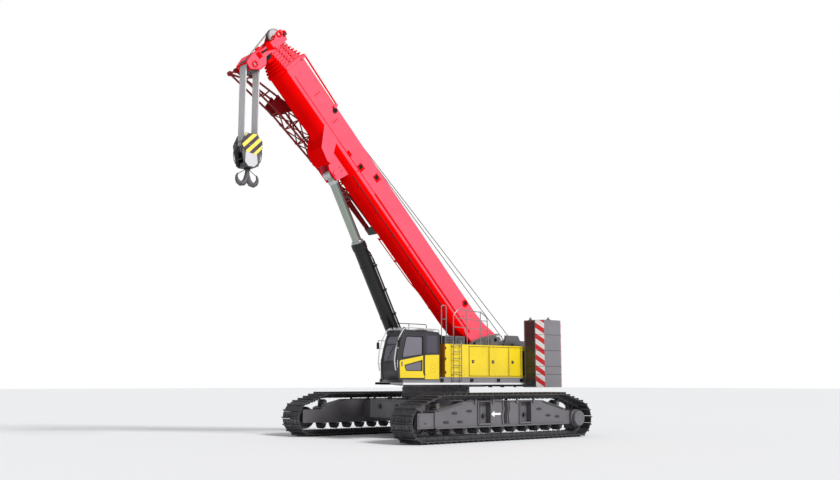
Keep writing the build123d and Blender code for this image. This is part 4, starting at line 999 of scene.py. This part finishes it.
# rings welded round the belly
for s in (9.02, 5.4):
    rim = [(0.476 * math.cos(a), -0.42 - 0.546 * math.sin(a)) for a in [math.pi * k / 18 for k in range(19)]]
    for (xa, za), (xb, zb) in zip(rim, rim[1:]):
        rod(bm, (xa, -s, za), (xb, -s, zb), 0.016, 6)
turned(bm, [(0.03, 0), (0.09, 0), (0.09, 0.05), (0.03, 0.05)],
       moved(0.48, -11.30, 0.20) @ turn_about("Y", 90), 20, 1)
# long capsule-shaped window frame on the belly ahead of the saddle
for x in (-0.13, 0.13):
    rod(bm, (x, -13.3, -0.945), (x, -11.5, -0.945), 0.012, 6)
bolts(bm, [(side * 0.36, -9.42 - 0.15 * k, -1.0) for side in (1, -1) for k in range(2)], 0.02, 0.02,
    (0, 0, 1))
piece("boom_base_fittings", bm, "boom", [RED, BLACK, DARK_RED], BOOM, 0.004)
# collar lugs on every telescoping section
for i in range(1, 7):
    bm = bmesh.new()
    front = 13.65 + 0.118 * i
    half, top, low = 0.47 - 0.038 * i + 0.055, 0.36 - 0.038 * i + 0.055, -0.42
    for side in (1, -1):
        for n in (top - 0.10, -0.02, -0.26):
            x0, x1 = sorted((side * half, side * (half + 0.03)))
            block(bm, (x0, -front, n - 0.035), (x1, -front + 0.05, n + 0.035))
            rod(bm, (side * half, -front + 0.025, n), (side * (half + 0.045), -front + 0.025, n), 0.014, 8, 1)
        block(bm, (side * 0.10, -front, top), (side * 0.24, -front + 0.05, top + 0.04))
    block(bm, (-0.05, -front - 0.004, top - 0.05), (0.05, -front, top - 0.01), 1)
    body = "head_and_section_6" if i == 6 else f"section_{i}"
    piece(f"collar_lugs_{i}", bm, body, [RED, STEEL], BOOM, 0.003)

# ---- Boom head ----
bm = bmesh.new()
for side in (1, -1):
    def cheek(depth):
        return tuple(sorted((side * 0.345, side * (0.345 + depth))))
    rim = [(-14.37, 0.29), (-14.52, 0.34), (-14.64, 0.375), (-14.79, 0.31), (-14.80, 0.06),
        (-14.68, -0.12), (-14.65, -0.75),
           (-14.74, -1.30), (-14.64, -1.70), (-14.36, -1.73), (-14.13, -1.38), (-14.14, -1.06)]
    for a, b in zip(rim, rim[1:]):
        rod(bm, (side * 0.345, *a), (side * 0.345, *b), 0.014, 6)
    for s, n, r in ((14.4, -1.45, 0.12), (14.7, 0.15, 0.12)):
        turned(bm, [(0.0605, 0.0), (r, 0.0), (r, 0.03), (0.0605, 0.03)],
               moved(side * 0.345, -s, n) @ turn_about("Y", 90 * side), 24)
        bolts(bm, [(side * 0.37, -s + a, n + b) for a, b in circle_of(6, r * 0.78)], 0.013, 0.012,
            (side, 0, 0), 1)
    block(bm, (cheek(0.03)[0], -14.72, -0.62), (cheek(0.03)[1], -14.46, -0.40))
    block(bm, (cheek(0.05)[0], -14.66, -1.16), (cheek(0.05)[1], -14.44, -1.02))
    block(bm, (cheek(0.04)[0], -14.58, -0.94), (cheek(0.04)[1], -14.52, -0.66), 2)
    plate(bm, [(-14.42, -0.30), (-14.36, -0.34), (-14.58, -0.98), (-14.63, -0.94)], cheek(0.02))
# rope guards, front ties and the cross tubes between the cheeks
for s, n, r in ((14.74, -0.02, 0.026), (14.60, -0.55, 0.045), (14.60, -0.85, 0.03), (14.62, -1.68, 0.022),
    (14.36, -1.71, 0.022), (14.66, -0.18, 0.03)):
    rod(bm, (-0.345, -s, n), (0.345, -s, n), r, 10)
block(bm, (-0.30, -14.20, -0.90), (0.30, -14.10, -0.60))
block(bm, (-0.32, -14.44, -1.02), (0.32, -14.30, -0.86), 2)
for k in range(5):
    block(bm, (-0.26 + 0.12 * k, -14.34, -1.10), (-0.20 + 0.12 * k, -14.16, -0.62), 2)
plate(bm, [(-14.74, 0.33), (-14.68, 0.46), (-14.58, 0.48), (-14.52, 0.33)], (0.30, 0.345))
plate(bm, [(-14.74, 0.33), (-14.68, 0.46), (-14.58, 0.48), (-14.52, 0.33)], (-0.345, -0.30))
block(bm, (0.30, -14.64, 0.28), (0.42, -14.52, 0.40), 3)
piece("head_fittings", bm, "head_and_section_6", [RED, STEEL, BLACK, DARK_RED], BOOM, 0.003)


def sheave_row(name, s, n, r, count, wide, body, finishes, bore, replaced, place=BOOM):
    """Grooved sheaves side by side on their pin."""
    bm = bmesh.new()
    pitch = wide / count
    for k in range(count):
        x = -wide / 2 + (k + 0.5) * pitch
        w = pitch * 0.42
        turned(bm, [(bore, -w), (r * 0.45, -w), (r * 0.5, -w * 0.5), (r * 0.84, -w * 0.45), (r * 0.9, -w),
            (r, -w), (r * 0.93, -w * 0.2),
                    (r * 0.93, w * 0.2), (r, w), (r * 0.9, w), (r * 0.84, w * 0.45), (r * 0.5,
                        w * 0.5), (r * 0.45, w), (bore, w)],
               facing_x(x, -s, n), 36, k % len(finishes))
    return piece(name, bm, body, finishes, place, replaces=[replaced])


sheave_row("nose_sheave_row", 14.4, -1.45, 0.275, 6, 0.52, "nose_sheaves", [DARK, GREY], 0.0605,
    "nose_sheaves")
sheave_row("crown_sheave_row", 14.7, 0.15, 0.26, 2, 0.26, "crown_sheaves", [BLACK, PALE_BAR], 0.03,
    "crown_sheaves")

# ---- Fly jib fittings ----
bm = bmesh.new()
# pins, splices and their plates
for x in (-1.10, -0.66):
    ball(bm, (x, -14.5, -1.60), 0.08)
    rod(bm, (x - 0.06, -14.0, -1.20), (x + 0.06, -14.0, -1.20), 0.07, 16)
    for k in range(5):
        y = -8.3 - 0.9 * k
        for n in (-1.13 + (12.4 + y) * 0.10682, -0.60 + (12.4 + y) * 0.03636):
            rod(bm, (x, y - 0.05, n), (x, y + 0.05, n), 0.052, 10)
    rod(bm, (x - 0.03, -6.45, -0.53), (x + 0.03, -6.45, -0.53), 0.07, 16, 1)
block(bm, (-1.18, -6.60, -0.62), (-0.62, -6.28, -0.585), 1)
block(bm, (-1.17, -8.20, -0.70), (-0.59, -8.12, -0.42), 1)
piece("jib_fittings", bm, "boom", [DARK_RED, BLACK], BOOM, 0.003)

# ---- Luffing ram ----
bm = bmesh.new()
turned(bm, [(0.20, -0.05), (0.284, -0.05), (0.288, 0.05), (0.284, 0.07), (0.284, 0.13), (0.276, 0.15),
    (0.266, 0.15), (0.266, -0.02)],
       moved(0, -5.22, 0) @ turn_about("X", -90), 48)
turned(bm, [(0.176, 0.0), (0.215, 0.0), (0.22, 0.05), (0.235, 0.06), (0.235, 0.09), (0.176, 0.09)],
       moved(0, -5.332, 0) @ turn_about("X", 90), 40, 1)
bolts(bm, [(a, -5.331, b) for a, b in circle_of(16, 0.252)], 0.014, 0.014, (0, -1, 0), 1)
for y in (-4.4, -2.3, -0.9):
    turned(bm, [(0.264, -0.03), (0.277, -0.03), (0.277, 0.03), (0.264, 0.03)],
           moved(0, y, 0) @ turn_about("X", -90), 40)
# pipes and their clips up the barrel, turned from its rear towards its left, clear of the lowered boom
before = set(bm.verts)
pipe(bm, [(0.10, -0.75, 0.25), (0.10, -0.75, 0.33), (0.10, -4.82, 0.33), (0.10, -5.0, 0.26)], 0.024, 10, 0.08)
pipe(bm, [(-0.05, -0.95, 0.25), (-0.05, -0.95, 0.32), (-0.05, -4.60, 0.32), (-0.05, -4.75, 0.25)], 0.018,
    10, 0.08)
for y in (-4.3, -3.3, -2.3, -1.3):
    block(bm, (-0.09, y - 0.03, 0.25), (0.15, y + 0.03, 0.37))
block(bm, (0.0, -0.95, 0.22), (0.2, -0.62, 0.38))
bmesh.ops.rotate(bm, matrix=Matrix.Rotation(math.radians(50), 3, "Y"),
    verts=[v for v in bm.verts if v not in before])
piece("ram_barrel_fittings", bm, "ram_barrel", [BLACK, STEEL], RAM, 0.004)
bm = bmesh.new()
turned(bm, [(0.10, -0.232), (0.165, -0.232), (0.18, -0.2297), (0.202, -0.2295), (0.202, 0.2295),
    (0.18, 0.2297), (0.165, 0.232), (0.10, 0.232), (0.02, 0.232), (0.02, -0.232)],
       facing_x(0, -RAM_LONG, 0), 40)
turned(bm, [(0.176, 0.0), (0.195, 0.0), (0.22, 0.14), (0.176, 0.14)],
       moved(0, -RAM_LONG + 0.38, 0) @ turn_about("X", 90), 36)
piece("ram_rod_eye", bm, "ram_rod", STEEL, RAM, 0.004)

# ---- Hook block ----
BLOCK = moved(0, NOSE.y, 10.18)
bm = bmesh.new()
hexagon = [(-0.405, 0.02), (-0.25, 0.40), (0.16, 0.435), (0.405, 0.20), (0.40, -0.06), (0.17, -0.30),
    (-0.22, -0.24)]
for x0, x1 in ((0.281, 0.299), (-0.299, -0.281)):
    plate(bm, hexagon, (x0, x1))
    for (ya, za), (yb, zb) in zip(hexagon, hexagon[1:] + hexagon[:1]):
        rod(bm, (x0, ya, za), (x0, yb, zb), 0.012, 6, 1)
    plate(bm, [(-0.24, -0.24), (0.20, -0.29), (0.24, -0.60), (0.10, -0.735), (-0.12, -0.735),
        (-0.26, -0.60)], (x0, x1 - 0.004), finish=4)
    for a, b in circle_of(6, 0.085):
        bolts(bm, [(x1 if x0 > 0 else x0, a, b)], 0.014, 0.012, (1 if x0 > 0 else -1, 0, 0), 3)
for x in (-0.31, 0.31):
    for end in (-1, 1):
        pipe(bm, [(x * 0.92, end * 0.34, 0.02), (x * 0.92, end * 0.40, -0.22),
            (x * 0.92, end * 0.36, -0.50), (x * 0.92, end * 0.20, -0.72)],
             0.014, 8, 0.06, 1)
for y, z in ((0.36, -0.50), (-0.36, -0.50), (0.385, 0.12), (-0.385, 0.12)):
    rod(bm, (-0.29, y, z), (0.29, y, z), 0.014, 8, 1)
plate(bm, [(-0.24, -0.20), (0.24, -0.20), (0.22, -0.72), (-0.22, -0.72)], (-0.20, -0.17), finish=1)
plate(bm, [(-0.24, -0.20), (0.24, -0.20), (0.22, -0.72), (-0.22, -0.72)], (0.17, 0.20), finish=1)
block(bm, (-0.24, -0.17, -0.74), (0.24, 0.17, -0.58), 1)
piece("hook_block_cheeks", bm, "hook_block", [HAZARD, BLACK, PALE_GREY, STEEL, PALE_BAR],
    BLOCK, 0.004)
sheave_row("block_sheave_row", 0.0, 0.0, 0.28, 4, 0.44, "block_sheaves", [DARK, GREY], 0.05,
    "block_sheaves", BLOCK)

# ---- Double hook, forged round its two bowls ----
bm = bmesh.new()
for side in (1, -1):
    way = [(0.02, 0.20, 0.085), (0.05, 0.06, 0.095), (0.13, -0.05, 0.105), (0.235, -0.09, 0.10),
        (0.335, -0.05, 0.085), (0.395, 0.04, 0.066),
           (0.41, 0.15, 0.046), (0.375, 0.235, 0.030), (0.352, 0.262, 0.016)]
    rings = []
    for (y, z, r), (yb, zb, rb) in zip(way, way[1:] + [way[-1]]):
        heading = Vector((0, yb - y, zb - z)) if (yb, zb) != (y, z) else heading
        spot = moved(0, side * y, z) @ Vector((0, side * heading.y, heading.z)).to_track_quat("Z",
            "X").to_matrix().to_4x4()
        ring = bmesh.ops.create_circle(bm, cap_ends=False, radius=r, segments=20, matrix=spot)["verts"]
        rings.append(ring)
    for first, second in zip(rings, rings[1:]):
        edges = [e for ring in (first, second) for v in ring for e in v.link_edges if e.other_vert(v) in ring]
        bmesh.ops.bridge_loops(bm, edges=list(set(edges)))
    bmesh.ops.contextual_create(bm, geom=rings[-1])
    bmesh.ops.contextual_create(bm, geom=rings[0])
turned(bm, [(0.0005, 0.10), (0.098, 0.12), (0.085, 0.30), (0.072, 0.40), (0.0695, 0.66), (0.0005, 0.66)],
    Matrix.Identity(4), 28)
piece("double_hook", bm, "hook", CASTING, moved(0, NOSE.y, 8.955), replaces=["hook"])
bm = bmesh.new()
for side in (1, -1):
    rod(bm, (0, side * 0.075, 0.42), (0, side * 0.362, 0.235), 0.013, 8)
    rod(bm, (-0.05, side * 0.075, 0.42), (0.05, side * 0.075, 0.42), 0.018, 10)
turned(bm, [(0.07, 0.425), (0.115, 0.425), (0.115, 0.484), (0.07, 0.484)], Matrix.Identity(4), 28)
piece("hook_latches", bm, "hook", BLACK, moved(0, NOSE.y, 8.955))


# ---- Ropes ----
def rope(name, a, b, r, first, second, finish, parts=10):
    """A straight rope between two bodies that may move apart."""
    bm = bmesh.new()
    a, b = Vector(a), Vector(b)
    pipe(bm, [a.lerp(b, k / parts) for k in range(parts + 1)], r, 8)
    made = piece(name, bm, first, finish)
    if second:
        made.parent = None
        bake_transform(made)
    return made


for side in (-1, 1):
    for k in range(6):
        x = -0.20 + 0.08 * k
        top = Vector((x, NOSE.y + side * 0.262, NOSE.z - 0.02))
        low = Vector((x, NOSE.y + side * 0.262, 10.20))
        rope(f"fall_{'rear' if side > 0 else 'front'}_{k + 1}", top, low, 0.022, "nose_pin", "hook_block",
            FALL_ROPE)
chain = ["boom"] + [f"section_{i}" for i in range(1, 6)] + ["head_and_section_6"]
for label, x, start, end in (("main", 0.06, (3.72, 3.865), CROWN + Vector((0, 0.02, 0.255))),
    ("spare", -0.06, (4.50, 3.70), CROWN + Vector((0, 0.0, 0.255)))):
    a = Vector((x, *start))
    b = Vector((x, end.y, end.z))
    marks = [a, a.lerp(b, 0.06), a.lerp(b, 0.14)] + [a.lerp(b, 0.14 + 0.86 * k / 6) for k in range(1, 7)]
    links = [("superstructure", "foot_pin"), ("foot_pin", "boom")] + list(zip(chain, chain[1:]))
    for k, ((low, high), (first, second)) in enumerate(zip(zip(marks, marks[1:]), links)):
        rope(f"{label}_hoist_rope_{k + 1}", low, high, 0.014, first, second, DARK_ROPE, 6)
    bm = bmesh.new()
    over = [CROWN + Vector((x, 0.272 * math.sin(t),
        0.272 * math.cos(t))) for t in [math.radians(v) for v in (10, -10, -30, -50, -70)]]
    nose_top = NOSE + Vector((x, -0.27, 0.06))
    pipe(bm, [b] + over + [nose_top], 0.010, 8)
    piece(f"{label}_rope_over_head", bm, "head_and_section_6", DARK_ROPE)

# ---- CAD pieces that stay, with their finishes ----
STAYS = {
    DECK_GREY: ["deck_left", "deck_right"],
    GREY: ["turntable_frame", "carbody", "carbody_weights", "track_frame_left", "track_frame_right"],
    PALE_GREY: ["counterweight_slabs", "counterweight_tray"],
    YELLOW: ["hood_left", "hood_right"] + [f"hood_door_{name}_{k}" for name, _ in SIDES for k in (1, 2, 3)],
    DARK: ["engine", "cab_shell", "cab_door"],
    BLACK: ["luff_barrel"],
    GLASS: ["cab_glass", "cab_door_glass"],
    STEEL: ["boom_foot_pin", "nose_pin", "luff_foot_pin", "luff_piston"],
    CHROME: ["luff_rod"],
    RED: ["boom_base", "boom_head"] + [f"boom_section_{i}" for i in range(1, 7)],
    DARK_RED: ["fly_jib"],
    CASTING: ["hook_block"],
}
for finish, names in STAYS.items():
    for name in names:
        nodes[name].data.materials.clear()
        nodes[name].data.materials.append(finish)
        # On the red boom pieces, the flat faces across the machine take the pinker flank paint: painted sheen on both
        # flat sides, plain red elsewhere.
        if finish is RED:
            nodes[name].data.materials.append(FLANK_SHEEN_RED)
            for face in nodes[name].data.polygons:
                face.material_index = int(abs(face.normal.x) > 0.985)

# ---- Floor, light and camera ----
bpy.ops.mesh.primitive_plane_add(size=600, location=(0, 0, cad_low.z if hasattr(cad_low,
    "z") else cad_low[2]))
floor = bpy.context.object
floor.name = "studio_floor"
pale, tree, surface, place = shader("floor_white")
surface.inputs["Base Color"].default_value = (0.92, 0.92, 0.92, 1)
surface.inputs["Roughness"].default_value = 0.75
floor.data.materials.append(pale)
floor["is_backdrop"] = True

world = bpy.data.worlds.new("pale_studio")
bpy.context.scene.world = world
world.use_nodes = True
tree = world.node_tree
seen = tree.nodes.new("ShaderNodeLightPath")
light = tree.nodes["Background"]
light.inputs["Color"].default_value = (0.93, 0.96, 1.0, 1)
light.inputs["Strength"].default_value = 0.42
white = tree.nodes.new("ShaderNodeBackground")
white.inputs["Color"].default_value = (1, 1, 1, 1)
white.inputs["Strength"].default_value = 1.0
mix = tree.nodes.new("ShaderNodeMixShader")
tree.links.new(seen.outputs["Is Camera Ray"], mix.inputs["Fac"])
tree.links.new(light.outputs[0], mix.inputs[1])
tree.links.new(white.outputs[0], mix.inputs[2])
tree.links.new(mix.outputs[0], tree.nodes["World Output"].inputs["Surface"])

sun = bpy.data.objects.new("high_sun", bpy.data.lights.new("high_sun", "SUN"))
sun.data.energy = 3.0
sun.data.angle = math.radians(14)
sun.rotation_euler = Vector((0.80, 0.10, 0.60)).to_track_quat("Z", "Y").to_euler()
bpy.context.scene.collection.objects.link(sun)

eye = bpy.data.objects.new("camera", bpy.data.cameras.new("camera"))
bpy.context.scene.collection.objects.link(eye)
eye.data.sensor_width = 36
eye.data.lens = 972.587 * 36 / 840
eye.data.clip_end = 500
turn, rise = math.radians(49.616), math.radians(8.339)
look = Vector((-math.sin(turn) * math.cos(rise), math.cos(turn) * math.cos(rise), math.sin(rise)))
eye.location = (29.049, -25.52, 2.07)
eye.rotation_euler = look.to_track_quat("-Z", "Y").to_euler()
bpy.context.scene.camera = eye
bpy.context.scene.view_settings.view_transform = "Standard"

low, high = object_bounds()
